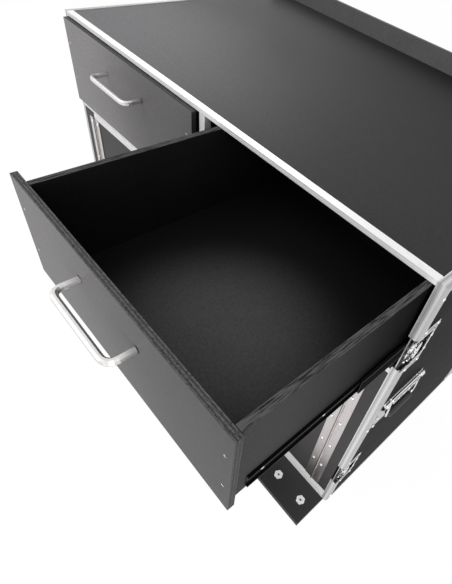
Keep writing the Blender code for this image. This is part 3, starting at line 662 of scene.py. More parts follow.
class CASE_OT_panels(bpy.types.Operator):
    """Laminate the panels, the drawer fronts and the base board."""
    bl_idname = "flight_case.panels"
    bl_label = "Panels"
    bl_options = {"REGISTER", "UNDO"}

    def execute(self, context):
        finishes, _, _ = settings()
        for name in PANELS:
            self.laminate_panel(name, finishes)
        for hand, side in SIDES:
            front, box = f"{hand}_drawer_front", f"{hand}_drawer_box"
            # Painted light: the drawer fronts take the lighter copy of the laminate, with the painted fade of
            # the light.
            dress(front, laminate(front, tuple(finishes.drawer), thin_axis(front), roughness=0.48, plies=5,
                                  sheen=0.22, ply_tones=DRAWER_PLIES, fade=DRAWER_FADES[hand]))
            dress(box, box_ply(box, side))
        board = "base_board"
        dress(board, laminate(board, tuple(finishes.board), thin_axis(board), roughness=0.55, plies=9,
                              sheen=0.4))
        return {"FINISHED"}

    def laminate_panel(self, name, finishes):
        """Laminate a panel with painted light and shade for its place on the case: a lighter copy on the
        cupboards and rear cover, a darker one on the side panels.
        """
        colour, sheen, fade = tuple(finishes.laminate), 0.16, None
        if name == "rear_cover":
            # Painted light: the rear cover takes a lighter copy of the laminate.
            colour = tuple(finishes.cover)
        elif name == "worktop":
            sheen, fade = 0.1, WORKTOP_FADE
        elif name in SIDE_PANELS:
            # Painted shade: the side panels take a darker copy of the black laminate.
            colour, sheen = shade(colour, 0.46), 0.008
        elif name in CUPBOARD_PANELS:
            # Painted light: the cupboards take a lighter copy of the laminate.
            colour, sheen = tuple(finishes.cupboard), 0.25
        across = None if name in ("rear_cover", "divider_panel") else thin_axis(name)
        dress(name, laminate(name, colour, across, sheen=sheen, fade=fade))


class CASE_OT_trims(bpy.types.Operator):
    """Finish the aluminium extrusions, and cap the doors' top edges."""
    bl_idname = "flight_case.trims"
    bl_label = "Edge trims"
    bl_options = {"REGISTER", "UNDO"}

    def execute(self, context):
        finishes, fittings, _ = settings()
        colour = tuple(finishes.aluminium)
        for name in LONG_TRIMS:
            dress(name, self.long_trim(name, colour))
        for hand, side in SIDES:
            name = f"side_frame_{hand}"
            dress(name, brushed(name, colour, (1100.0, 500.0, 16.0), 0.34, metallic=0.4, bands=EDGE_LIGHT_BANDS))
            self.add_rivets(hand, side, fittings.rivet)
            self.add_cap(hand, self.long_trim(f"{hand}_door_cap", colour))
        return {"FINISHED"}

    def long_trim(self, name, colour):
        """Aluminium drawn along the case's width, mirror-like on top."""
        return brushed(name, colour, DRAWN_ALONG_X, 0.42, metallic=0.1, crown=0.85)

    def add_rivets(self, hand, side, radius):
        """Pop rivets through the flange of the edge extrusion, near its corners and between them."""
        low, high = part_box(f"side_frame_{hand}")
        size = high - low
        inset = 11.5 * MM
        spots = [(y, low.z + size.z * share) for y in (low.y + inset, high.y - inset)
                 for share in (0.035, 0.48, 0.965)]
        spots += [(low.y + size.y * share, z) for z in (low.z + inset, high.z - inset)
                  for share in (0.3, 0.7)]
        bm = bmesh.new()
        rivets(bm, [(side * HALF_WIDTH, y, z) for y, z in spots], (side, 0, 0), radius * 0.9, 1.8 * MM)
        bright = zinc(f"{hand}_frame_rivet", (0.9, 0.9, 0.9), 0.15)
        piece(f"{hand}_frame_rivets", bm, bright, "case")

    def add_cap(self, hand, metal):
        """A folded channel over the door's top edge, down to the hinge leaf."""
        low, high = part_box(f"{hand}_door")
        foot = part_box(f"{hand}_hinge_moving_leaf")[1].z + 0.3 * MM
        sheet, chamfer = 0.9 * MM, 0.6 * MM
        front, back, ceiling = low.y - sheet, high.y + sheet, high.z + sheet
        section = [(front, foot), (low.y, foot), (low.y, high.z), (high.y, high.z), (high.y, foot),
                   (back, foot), (back, ceiling - chamfer), (back - chamfer, ceiling),
                   (front + chamfer, ceiling), (front, ceiling - chamfer)]
        bm = bmesh.new()
        slab(bm, [Vector((low.x, y, z)) for y, z in section], Vector((high.x - low.x, 0, 0)))
        piece(f"{hand}_door_cap", bm, metal, f"{hand}_door", 30)


class CASE_OT_drawers(bpy.types.Operator):
    """Finish the bow handles of the drawers and doors, and add their seats and the fronts' screws."""
    bl_idname = "flight_case.drawers"
    bl_label = "Drawer and door pulls"
    bl_options = {"REGISTER", "UNDO"}

    def execute(self, context):
        finishes, fittings, _ = settings()
        steel = brushed("handle_steel", tuple(finishes.handle), (260.0, 260.0, 260.0), 0.32, 0.15)
        seat = rubber("handle_seat", (0.012, 0.012, 0.012))
        for hand, side in SIDES:
            for kind in ("drawer", "door"):
                body = f"{hand}_{kind}"
                handle = f"{body}_handle"
                dress(handle, steel)
                self.add_seats(handle, body, kind, seat)
            self.add_screws(hand, side, fittings.screw)
        return {"FINISHED"}

    def add_seats(self, handle, body, kind, seat):
        """A thin dark washer under each foot; a drawer's handle lies level, and a door's stands upright."""
        low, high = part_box(handle)
        level = kind == "drawer"
        radius = ((high.z - low.z) if level else (high.x - low.x)) / 2
        reach = (high - low) / 2 - Vector((radius, radius, radius))
        step = Vector((reach.x, 0, 0)) if level else Vector((0, 0, reach.z))
        wide = radius + 0.3 * MM
        washer = [(0.0, -0.2 * MM), (wide, -0.2 * MM), (wide, 0.7 * MM), (wide - 0.4 * MM, 1.1 * MM),
                  (0.0, 1.1 * MM)]
        bm = bmesh.new()
        for way in (-1, 1):
            foot = (low + high) / 2 + way * step
            foot.y = high.y
            lathe(bm, washer, foot, (0, -1, 0), 24)
        piece(f"{handle}_seats", bm, seat, body)

    def add_screws(self, hand, side, radius):
        """Countersunk screws through the drawer front into the box's walls."""
        low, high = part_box(f"{hand}_drawer_front")
        bm = bmesh.new()
        for inset in (14 * MM, 543 * MM):
            x = high.x - inset if side > 0 else low.x + inset
            for drop in (58 * MM, 148 * MM):
                lathe(bm, screw_head(radius), Vector((x, low.y, high.z - drop)), (0, -1, 0))
        steel = broken_chrome(f"screw_steel_{hand}", (0.5, 0.5, 0.5))
        piece(f"{hand}_drawer_front_screws", bm, steel, f"{hand}_drawer")


class CASE_OT_slides(bpy.types.Operator):
    """Finish the ball slides, and add their end caps, balls and screws."""
    bl_idname = "flight_case.slides"
    bl_label = "Ball slides"
    bl_options = {"REGISTER", "UNDO"}

    def execute(self, context):
        finishes, _, _ = settings()
        black = coated("slide_steel", tuple(finishes.slide), 0.34, 0.05)
        plastic = coated("slide_plastic", (0.012, 0.012, 0.012), 0.5)
        bright = zinc("ball_steel", tuple(finishes.zinc), 0.15)
        for hand, side in SIDES:
            for edge, outward in (("outer", side), ("inner", -side)):
                for kind in ("drawer", "case"):
                    dress(f"{hand}_slide_{edge}_{kind}", black)
                middle = f"{hand}_slide_{edge}_middle"
                dress(middle, channel_with_pale_bends(middle, tuple(finishes.channel)))
                self.add_end_caps(hand, middle, outward, plastic)
                self.add_balls(hand, edge, middle, bright)
                self.add_screws(hand, edge, outward, bright)
        return {"FINISHED"}

    def add_end_caps(self, hand, middle, outward, plastic):
        """Moulded stops in both ends of the middle member."""
        low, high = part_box(middle)
        x = (high.x if outward > 0 else low.x) - outward * 1.4 * MM
        foot, top = low.z + 1.6 * MM, high.z - 1.6 * MM
        outline = [(0.6 * MM, foot), (0.6 * MM, top), (-15 * MM, top), (-18 * MM, high.z - 6 * MM),
                   (-18 * MM, low.z + 6 * MM), (-15 * MM, foot)]
        thick = Vector((-outward * 1.4 * MM, 0, 0))
        bm = bmesh.new()
        for y, way in ((low.y, 1), (high.y, -1)):
            slab(bm, [Vector((x, y - way * back, z)) for back, z in outline], thick)
        piece(f"{middle}_caps", bm, plastic, f"{hand}_slide_middle", 30, 0.4 * MM)

    def add_balls(self, hand, edge, middle, bright):
        """Steel balls that run between the middle and the drawer members."""
        low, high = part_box(middle)
        inner_low, inner_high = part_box(f"{hand}_slide_{edge}_drawer")
        gap = (high.z - 1.3 * MM - inner_high.z) / 2
        radius = gap * 0.94
        turns = [math.pi * step / 6 for step in range(7)]
        profile = [(radius * math.sin(turn), -radius * math.cos(turn)) for turn in turns]
        bm = bmesh.new()
        for z in (inner_high.z + gap, inner_low.z - gap):
            for index in range(12):
                spot = Vector(((low.x + high.x) / 2, low.y + (8 + 9 * index) * MM, z))
                lathe(bm, profile, spot, (0, 0, 1), 10)
        piece(f"{hand}_slide_{edge}_balls", bm, bright, f"{hand}_slide_middle")

    def add_screws(self, hand, edge, outward, bright):
        """Pan-head screws that hold the drawer member to the box, inside its channel."""
        low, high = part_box(f"{hand}_slide_{edge}_drawer")
        x = (low.x if outward > 0 else high.x) + outward * 1.3 * MM
        spots = [(x, low.y + along * MM, (low.z + high.z) / 2) for along in (28, 150, 290, 430)]
        bm = bmesh.new()
        rivets(bm, spots, (outward, 0, 0), 3.4 * MM, 1.3 * MM)
        piece(f"{hand}_slide_{edge}_screws", bm, bright, f"{hand}_drawer")


class CASE_OT_hinges(bpy.types.Operator):
    """Finish the piano hinges, and rivet their leaves."""
    bl_idname = "flight_case.hinges"
    bl_label = "Piano hinges"
    bl_options = {"REGISTER", "UNDO"}

    def execute(self, context):
        finishes, fittings, _ = settings()
        seam = HALF_WIDTH - abs(frame_joint("right_door_hinge")["pos_m"][0])
        # Painted shadow line along the knuckle: the leaf is drawn dark close to the pin's axis.
        knuckle_shade_bands = ((0.0, 1.0), (seam - 0.4 * MM, 0.1), (seam + 2.3 * MM, 1.0))
        steel = brushed("hinge_steel", tuple(finishes.hinge), (700.0, 700.0, 20.0), 0.3, 0.3, bands=knuckle_shade_bands)
        bright = zinc("hinge_rivet_zinc", (0.95, 0.95, 0.95), 0.12)
        # Dark rings of painted shade round the hinge rivets.
        rivet_shade = rubber("hinge_rivet_shade", (0.06, 0.055, 0.052))
        for hand, side in SIDES:
            pin_x = frame_joint(f"{hand}_door_hinge")["pos_m"][0]
            for kind, body, across in (("fixed", "case", 11 * MM), ("moving", f"{hand}_door", -17 * MM)):
                leaf = f"{hand}_hinge_{kind}_leaf"
                dress(leaf, steel)
                self.add_rivets(leaf, body, pin_x + side * across, fittings, bright, rivet_shade)
        return {"FINISHED"}

    def add_rivets(self, leaf, body, x, fittings, bright, rivet_shade):
        """A row of rivets down a leaf, each with a dark ring of painted shade round its head."""
        low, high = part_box(leaf)
        radius = fittings.rivet * 1.15
        wide = radius + 0.7 * MM
        # Painted shade: a thin dark ring round each rivet's head.
        ring = [(0.0, -0.1 * MM), (wide, -0.1 * MM), (wide, 0.15 * MM), (0.0, 0.15 * MM)]
        bm, rings = bmesh.new(), bmesh.new()
        z = high.z - 12 * MM
        while z > low.z + 5 * MM:
            spot = Vector((x, plate_front(leaf), z))
            lathe(bm, dome(radius, 2.0 * MM), spot, (0, -1, 0))
            lathe(rings, ring, spot, (0, -1, 0))
            z -= fittings.hinge_pitch
        piece(f"{leaf}_rivets", bm, bright, body)
        piece(f"{leaf}_rings", rings, rivet_shade, body)


def plate_front(leaf):
    """The front of a hinge leaf's flat plate, which lies behind its knuckles."""
    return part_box(leaf)[1].y - 1.5 * MM


def frame_joint(name):
    """The frame's entry for a joint."""
    for joint in frame["joints"]:
        if joint["name"] == name:
            return joint
    raise ValueError(f"the frame has no joint {name}")


class CASE_OT_latches(bpy.types.Operator):
    """Finish the recessed latches, and add their rims, rivets, carriages and springs."""
    bl_idname = "flight_case.latches"
    bl_label = "Turn latches"
    bl_options = {"REGISTER", "UNDO"}

    def execute(self, context):
        finishes, fittings, _ = settings()
        bright = zinc("latch_zinc", tuple(finishes.zinc), 0.18)
        chrome = broken_chrome("latch_chrome", tuple(finishes.zinc))
        dark = rubber("latch_shadow", (0.008, 0.008, 0.008))
        for hand, side in SIDES:
            for level in LEVELS:
                name = f"{hand}_{level}_latch"
                dress(f"{name}_dish", pressed(f"{name}_dish", side, tuple(finishes.zinc)))
                dress(f"{name}_wing", chrome)
                self.add_rivets(name, side, bright, fittings.rivet)
                self.add_rim(name, side, bright)
                self.add_carriage(name, side, chrome, dark)
        return {"FINISHED"}

    def spot(self, name, side, back, up, out):
        """A place in millimetres back from a latch's front, up from its middle, out from its hub's foot."""
        low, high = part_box(f"{name}_dish")
        foot = frame_joint(f"{name}_turn")["pos_m"][0]
        return Vector((foot + side * out * MM, low.y + back * MM, (low.z + high.z) / 2 + up * MM))

    def outline(self, name, side, out, points):
        """Places on a latch that lie equally far out, from points given as (back, up)."""
        return [self.spot(name, side, back, up, out) for back, up in points]

    def add_rivets(self, name, side, bright, radius):
        """Six rivets through the latch's flange."""
        points = [(back, way * up) for back, up in ((60.5, 55.5), (61.8, 20), (22, 56.5)) for way in (-1, 1)]
        bm = bmesh.new()
        rivets(bm, self.outline(name, side, 7.2, points), (side, 0, 0), radius, 2.0 * MM)
        piece(f"{name}_rivets", bm, bright, "case")

    def add_rim(self, name, side, bright):
        """The drawn bead round the pocket, its slanting lower web, and the fold round the flange."""
        bead = [(0.5, 44.4), (48, 44.4), (54, 42.5), (58, 39), (60.2, 33), (60.2, -27), (58, -31), (53, -34),
                (34, -38), (14, -42.5), (0.5, -45)]
        fold = [(18.8, 46), (18.8, 63.6), (60, 63.6), (64.6, 61.8), (66.6, 57), (66.6, -57), (64.6, -61.8),
                (60, -63.6), (18.8, -63.6), (18.8, -46)]
        web = [(60.1, -28), (60.1, -44.1), (1, -44.1), (14, -42), (34, -37.6), (53, -33.6)]
        bm = bmesh.new()
        sweep(bm, self.outline(name, side, 7.4, bead), 1.0 * MM, 8)
        sweep(bm, self.outline(name, side, 7.0, fold), 0.4 * MM, 6)
        slab(bm, self.outline(name, side, 5.9, web), Vector((side * 1.3 * MM, 0, 0)))
        piece(f"{name}_rim", bm, bright, "case")

    def add_carriage(self, name, side, bright, dark):
        """The sliding hook plate over a dark sheet of painted shadow in its pocket, with its two springs and
        pins.
        """
        plate = [(3, -12), (3, 14), (7, 19), (16, 19), (20, 14), (46, 14), (50, 10), (50, -10), (46, -14),
                 (20, -14), (14, -12)]
        hook = [(0.8, 17), (0.8, 39), (4, 42), (12, 42), (15, 38), (10, 35), (9.5, 20), (8, 17)]
        floor = [(1.5, -42), (1.5, 41), (52, 41), (56, 36), (56, -30), (34, -35)]
        bm, shadow_sheet = bmesh.new(), bmesh.new()
        slab(bm, self.outline(name, side, 0.3, plate), Vector((side * 1.4 * MM, 0, 0)))
        slab(bm, self.outline(name, side, 1.2, hook), Vector((side * 4.6 * MM, 0, 0)))
        for up in (-29, 30):
            start = self.spot(name, side, 50, up, 2.4)
            sweep(bm, coil(start, Vector((0, -1, 0)), 34 * MM, 1.9 * MM, 12), 0.55 * MM, 6)
            lathe(bm, dome(3.2 * MM, 2.4 * MM), self.spot(name, side, 12, up, 0.2), (side, 0, 0))
        # A dark sheet of painted shadow under the carriage.
        slab(shadow_sheet, self.outline(name, side, -0.25, floor), Vector((side * 0.4 * MM, 0, 0)))
        piece(f"{name}_carriage", bm, bright, "case")
        piece(f"{name}_well", shadow_sheet, dark, "case")


def pressed(name, side, colour):
    """A plated pressing with painted broken reflections of its surroundings, and painted shade in its deep
    parts and on its rolled edges.
    """
    finish = Finish(name, Metallic=1.0)
    low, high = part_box(name)
    outer = high.x if side > 0 else -low.x
    # Painted shade in the pocket's deep parts.
    depth = abs(finish.parts(finish.place)[0]).between(outer - 3.0 * MM, outer - 1.2 * MM)
    cloud = finish.noise(finish.place, 60.0, 4.0)
    # Painted reflections: broken bright and dark patches on the flange, painted glints on the floor, and
    # painted shade on the rolled edges.
    broken = finish.noise(finish.place, 130.0, 2.0).between(0.46, 0.6)
    glints = finish.noise(finish.place, 190.0, 1.0).between(0.55, 0.62)
    rolled = 1.0 - abs(finish.parts(finish.facing)[0]).between(0.5, 0.8)
    floor = finish.mix(glints, shade(colour, 0.08), shade(colour, 0.8))
    flange = finish.mix(broken, shade(colour, 0.12), shade(colour, 0.4))
    flange = finish.mix(rolled, flange, shade(colour, 0.3))
    finish.feed(Base_Color=finish.mix(depth, floor, flange), Roughness=cloud * 0.16 + 0.14)
    finish.raise_surface(cloud, 0.05 * MM, 0.4)
    return finish.material


def broken_chrome(name, colour):
    """Small chromed parts with painted glints and dark painted reflections in their colour."""
    finish = Finish(name, Metallic=1.0)
    # Painted glints and reflections: bright and dark patches in the base colour.
    glints = finish.noise(finish.place, 230.0, 2.0).between(0.44, 0.52)
    cloud = finish.noise(finish.place, 60.0, 4.0)
    base = finish.mix(glints, shade(colour, 0.12), shade(colour, 1.25))
    finish.feed(Base_Color=base, Roughness=cloud * 0.12 + 0.1)
    finish.raise_surface(cloud, 0.1 * MM, 0.5)
    return finish.material


def plate_with_painted_reflection(name, colour, highlight_from):
    """A polished plate under a grip, with a painted dark reflection of the black panel and a painted
    highlight on its upper strip and its border.
    """
    finish = Finish(name, Metallic=1.0)
    low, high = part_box(name)
    _, y, z = finish.parts(finish.place)
    strip = z.between(highlight_from - 1 * MM, highlight_from)
    front = 1.0 - y.between(low.y + 1 * MM, low.y + 2 * MM)
    rear = y.between(high.y - 2 * MM, high.y - 1 * MM)
    foot = 1.0 - z.between(low.z + 1 * MM, low.z + 2 * MM)
    border = front.greatest(rear).greatest(foot)
    cloud = finish.noise(finish.place, 60.0, 4.0)
    # Painted reflection and highlight: dark over the plate, bright on its upper strip and border.
    base = finish.mix(strip.greatest(border * 0.6), shade(colour, 0.08), shade(colour, 1.05))
    finish.feed(Base_Color=base, Roughness=cloud * 0.1 + 0.08)
    finish.raise_surface(cloud, 0.01 * MM, 0.4)
    return finish.material


def coil(start, along, length, radius, turns, steps=10):
    """Places along a coil spring."""
    across = along.orthogonal().normalized()
    other = along.cross(across)
    count = turns * steps
    places = []
    for index in range(count + 1):
        turn = math.tau * index / steps
        out = (across * math.cos(turn) + other * math.sin(turn)) * radius
        places.append(start + along * (length * index / count) + out)
    return places


class CASE_OT_side_handles(bpy.types.Operator):
    """Finish the spring handles, and add their rivets, slotted pivot covers and ribbed grips."""
    bl_idname = "flight_case.side_handles"
    bl_label = "Side handles"
    bl_options = {"REGISTER", "UNDO"}

    def execute(self, context):
        finishes, fittings, _ = settings()
        bright = zinc("side_handle_zinc", tuple(finishes.zinc))
        black = rubber("grip_rubber", (0.03, 0.03, 0.031), 0.5)
        dark = rubber("slot_shadow", (0.02, 0.02, 0.02), 0.5)
        for hand, side in SIDES:
            plate = f"{hand}_side_handle_plate"
            pivot = Vector(frame_joint(f"{hand}_side_bail_swing")["pos_m"])
            dress(plate, plate_with_painted_reflection(plate, tuple(finishes.zinc), pivot.z - 7 * MM))
            self.add_rivets(plate, hand, side, pivot, bright, fittings.rivet)
            self.add_cover(hand, side, pivot, bright, dark)
            self.add_bail(hand, side, bright, black)
        return {"FINISHED"}

    def add_rivets(self, plate, hand, side, pivot, bright, radius):
        """Three rivets down each end of the plate."""
        low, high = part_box(plate)
        x = side * (HALF_WIDTH + 1.2 * MM)
        spots = [(x, y, z) for y in (low.y + 6 * MM, high.y - 6 * MM)
                 for z in (low.z + 8 * MM, low.z + 44 * MM, pivot.z)]
        bm = bmesh.new()
        rivets(bm, spots, (side, 0, 0), radius, 2.0 * MM)
        piece(f"{hand}_side_handle_rivets", bm, bright, "case")

    def add_cover(self, hand, side, pivot, bright, dark):
        """The rolled cover over the pivot and its springs, with a row of dark rods of painted shade for its
        slots.
        """
        cover, slot_shades = bmesh.new(), bmesh.new()
        for start, end in ((-68.5, -55.5), (-47.5, 47.5), (55.5, 68.5)):
            profile = mm((0, start), (5, start), (5.6, start + 0.6), (5.6, end - 0.6), (5, end), (0, end))
            lathe(cover, profile, pivot, (0, 1, 0), 24)
        for up, radius in ((4.4, 1.3), (-4.4, 1.5)):
            self.add_rod(cover, pivot, (side * 4.4, 0, up), 47, radius)
        # Painted shade: dark rods stand for the shade seen through the slots.
        for along in (-40, -21, -2, 17, 36):
            self.add_rod(slot_shades, pivot, (side * 4.9, along, 0.6), 6, 1.15)
        piece(f"{hand}_side_handle_cover", cover, bright, "case")
        piece(f"{hand}_side_handle_slots", slot_shades, dark, "case")

    def add_rod(self, bm, pivot, middle, half, radius):
        """A rod along the pivot's axis, with its middle given in millimetres from the pivot's."""
        out, along, up = middle
        path = [pivot + Vector(spot) for spot in mm((out, along - half, up), (out, along + half, up))]
        sweep(bm, path, radius * MM, 8)

    def add_bail(self, hand, side, bright, black):
        """The wire bail with its ribbed grip, in place of its plain solid."""
        node, body = f"{hand}_side_handle_bail", f"{hand}_side_bail"
        low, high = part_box(node)
        pivot = Vector(frame_joint(f"{body}_swing")["pos_m"])
        grip = Vector((pivot.x + side * GRIP_OUT, pivot.y, pivot.z - GRIP_DROP))
        wire, sleeve = bmesh.new(), bmesh.new()
        sweep(wire, self.bail_path(pivot, grip), WIRE_RADIUS, 12)
        sweep(wire, [(pivot.x, low.y, pivot.z), (pivot.x, high.y, pivot.z)], WIRE_RADIUS, 12)
        legs = piece(f"{body}_wire", wire, bright, body)
        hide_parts(node)
        lathe(sleeve, self.ribs(GRIP_LENGTH), grip - Vector((0, GRIP_LENGTH / 2, 0)), (0, 1, 0), 20)
        piece(f"{body}_grip", sleeve, black, body, 50)

    def bail_path(self, pivot, grip):
        """The wire's course: down one leg, which bows outward, round a bend, and back up the same way."""
        half, bend, steps = 51.5 * MM, 9 * MM, 12
        front, drop = pivot.y - half, pivot.z - grip.z
        path = [Vector((pivot.x, front, pivot.z))]
        for step in range(1, steps):
            share = step / steps
            bow = math.sin(share * math.pi / 2) ** 0.8
            path.append(Vector((pivot.x + (grip.x - pivot.x) * bow, front, pivot.z - (drop - bend) * share)))
        for step in range(7):
            turn = math.pi / 2 * step / 6
            path.append(Vector((grip.x, front + bend * (1 - math.cos(turn)),
                                grip.z + bend * (1 - math.sin(turn)))))
        return path + [Vector((spot.x, 2 * pivot.y - spot.y, spot.z)) for spot in reversed(path)]

    def ribs(self, length):
        """The profile of the ribbed grip."""
        count = 21
        profile = mm((0, 0), (7, 0))
        for rib in range(count):
            start = length * (rib + 0.15) / count
            profile += [(7.5 * MM, start), (8.5 * MM, start + 0.9 * MM), (8.5 * MM, start + 2.2 * MM),
                        (7.5 * MM, start + 3.1 * MM)]
        return profile + [(7 * MM, length), (0.0, length)]


class CASE_OT_base(bpy.types.Operator):
    """Fit the base board with its T-nuts and the caster plates with their bolts."""
    bl_idname = "flight_case.base"
    bl_label = "Base hardware"
    bl_options = {"REGISTER", "UNDO"}

    def execute(self, context):
        finishes, fittings, _ = settings()
        bright = zinc("base_zinc", tuple(finishes.zinc), 0.26)
        pale = zinc("nut_zinc", (0.97, 0.97, 0.98), 0.3, metallic=0.1)
        low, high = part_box("base_board")
        nuts, hole_shades, bolts, plates = (bmesh.new() for _ in range(4))
        for hand, _ in SIDES:
            for end in ENDS:
                swivel = Vector(frame_joint(f"{end}_{hand}_caster_swivel")["pos_m"])
                plate_rim(plates, swivel, low.z)
                for across, along in sorted(PLATE_BOLTS):
                    x, y = swivel.x + across, swivel.y + along
                    hex_bolt(bolts, Vector((x, y, low.z)), (0, 0, -1))
                    if along < 0 and end == "front":
                        t_nut(nuts, hole_shades, Vector((x, y, high.z)), fittings.nut)
        piece("board_t_nuts", nuts, pale, "case", 30)
        piece("board_t_nut_holes", hole_shades, rubber("nut_shadow", (0.05, 0.05, 0.05)), "case")
        piece("caster_bolts", bolts, bright, "case", 30)
        piece("caster_plate_rims", plates, bright, "case", 30)
        return {"FINISHED"}


def plate_rim(bm, centre, z):
    """The pressed rim of a swivel plate, with rounded corners round its bolts."""
    outline = []
    for corner, (across, along) in enumerate(PLATE_BOLTS):
        for step in range(5):
            turn = math.pi / 2 * (corner + step / 4)
            outline.append(Vector((centre.x + across + PLATE_MARGIN * math.cos(turn),
                                   centre.y + along + PLATE_MARGIN * math.sin(turn), z - 0.3 * MM)))
    slab(bm, outline, Vector((0, 0, 0.8 * MM)))


def hex_bolt(bm, spot, axis):
    """A bolt head on its washer."""
    lathe(bm, mm((0, -0.2), (8.5, -0.2), (8.5, 1.4), (0, 1.4)), spot, axis, 20)
    lathe(bm, mm((0, 1.4), (6.6, 1.4), (6.6, 5.6), (5.8, 6.4), (0, 6.4)), spot, axis, 6)


def t_nut(bm, hole_shades, spot, radius):
    """A T-nut's flange: scalloped, with the ends of its prongs, a threaded barrel in the middle, and a dark
    disc of painted shade down its hole.
    """
    count, up = 48, (0, 0, 1)
    outline = []
    for step in range(count):
        turn = math.tau * step / count
        reach = radius * (0.86 + 0.14 * abs(math.cos(3 * turn)))
        outline.append(spot + Vector((reach * math.cos(turn), reach * math.sin(turn), -0.2 * MM)))
    slab(bm, outline, Vector((0, 0, 1.7 * MM)))
    barrel = mm((0, 1), (5.6, 1), (5.2, 2.6), (4.2, 2.9), (3.4, 2.4), (3.3, 1.6), (0, 1.6))
    lathe(bm, barrel, spot, up, 20)
    # Painted shade: a dark disc down the barrel's hole.
    lathe(hole_shades, mm((0, 1.5), (3.2, 1.5), (3.2, 1.9), (0, 1.9)), spot, up)
    prong = mm((0, 1.2), (1.8, 1.2), (1.5, 2), (0.9, 2), (0, 1.7))
    for step in range(4):
        turn = math.tau * (step + 0.5) / 4
        middle = spot + Vector((math.cos(turn), math.sin(turn), 0)) * radius * 0.66
        lathe(bm, prong, middle, up, 8)


class CASE_OT_casters(bpy.types.Operator):
    """Finish the casters, and add their races, wheel cores and axle nuts."""
    bl_idname = "flight_case.casters"
    bl_label = "Casters"
    bl_options = {"REGISTER", "UNDO"}

    def execute(self, context):
        finishes, _, _ = settings()
        bright = zinc("caster_zinc", tuple(finishes.zinc), 0.26)
        grey = rubber("wheel_rubber", tuple(finishes.wheel))
        core = coated("wheel_core", (0.02, 0.02, 0.021), 0.45)
        for hand, _ in SIDES:
            for end in ENDS:
                name = f"{end}_{hand}_caster"
                dress(f"{name}_fork", bright)
                dress(f"{name}_wheel", grey)
                axle = Vector(frame_joint(f"{name}_roll")["pos_m"])
                self.add_race(name, bright)
                self.add_core(name, axle, core)
                self.add_axle_nuts(name, axle, bright)
        return {"FINISHED"}

    def add_race(self, name, bright):
        """The ball race under the swivel plate."""
        swivel = frame_joint(f"{name}_swivel")["pos_m"]
        foot = Vector((swivel[0], swivel[1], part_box(f"{name}_fork")[1].z - 14 * MM))
        profile = mm((0, 0.5), (26, 0.5), (27.5, 3), (26.5, 6), (24, 7.5), (24, 9), (0, 9))
        bm = bmesh.new()
        lathe(bm, profile, foot, (0, 0, 1), 32)
        piece(f"{name}_race", bm, bright, f"{name}_fork")

    def add_core(self, name, axle, core):
        """The dished core on each side of the wheel, with its hub."""
        profile = mm((0, 0), (36, 0), (36, 1.2), (34.5, 1.9), (30, 1.2), (17, 0.9), (13.5, 6.6), (6, 6.8),
                     (0, 6.8))
        bm = bmesh.new()
        for way in (-1, 1):
            lathe(bm, profile, axle + Vector((way * 8.8 * MM, 0, 0)), (way, 0, 0), 36)
        piece(f"{name}_core", bm, core, f"{name}_wheel")

    def add_axle_nuts(self, name, axle, bright):
        """A nut on its washer, on each end of the axle."""
        bm = bmesh.new()
        for way in (-1, 1):
            end = axle + Vector((way * 23 * MM, 0, 0))
            lathe(bm, mm((0, -0.1), (7, -0.1), (7, 1), (0, 1)), end, (way, 0, 0), 20)
            lathe(bm, mm((0, 1), (5.6, 1), (5.6, 4.4), (4.8, 5), (0, 5)), end, (way, 0, 0), 6)
        piece(f"{name}_axle_nuts", bm, bright, f"{name}_fork")


class CASE_OT_cover(bpy.types.Operator):
    """Edge the rear cover with its aluminium bands."""
    bl_idname = "flight_case.cover"
    bl_label = "Rear cover bands"
    bl_options = {"REGISTER", "UNDO"}

    def execute(self, context):
        finishes, fittings, _ = settings()
        metal = brushed("cover_band", tuple(finishes.aluminium), (900.0, 500.0, 16.0), 0.3)
        low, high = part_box("rear_cover")
        upstand_foot = CAD_BOX[1].z - UPSTAND
        lipped = mm((0, 0), (0, 23), (0.7, 23), (0.7, 9), (1.1, 8), (1.1, 0))
        plain = mm((0, 0), (0, 23), (0.9, 23), (0.9, 0))
        for hand, side in SIDES:
            x = side * HALF_WIDTH
            bm = bmesh.new()
            outline = [Vector((x + side * out, low.y + back, low.z)) for out, back in lipped]
            slab(bm, outline, Vector((0, 0, upstand_foot - low.z)))
            outline = [Vector((x + side * out, high.y - back, low.z)) for out, back in plain]
            slab(bm, outline, Vector((0, 0, high.z - low.z)))
            spots = [(x + side * MM, low.y + 15 * MM, low.z + (index * 150 + 40) * MM)
                     for index in range(6)]
            rivets(bm, spots, (side, 0, 0), fittings.rivet * 0.8)
            piece(f"rear_cover_band_{hand}", bm, metal, "case", 30)
        return {"FINISHED"}


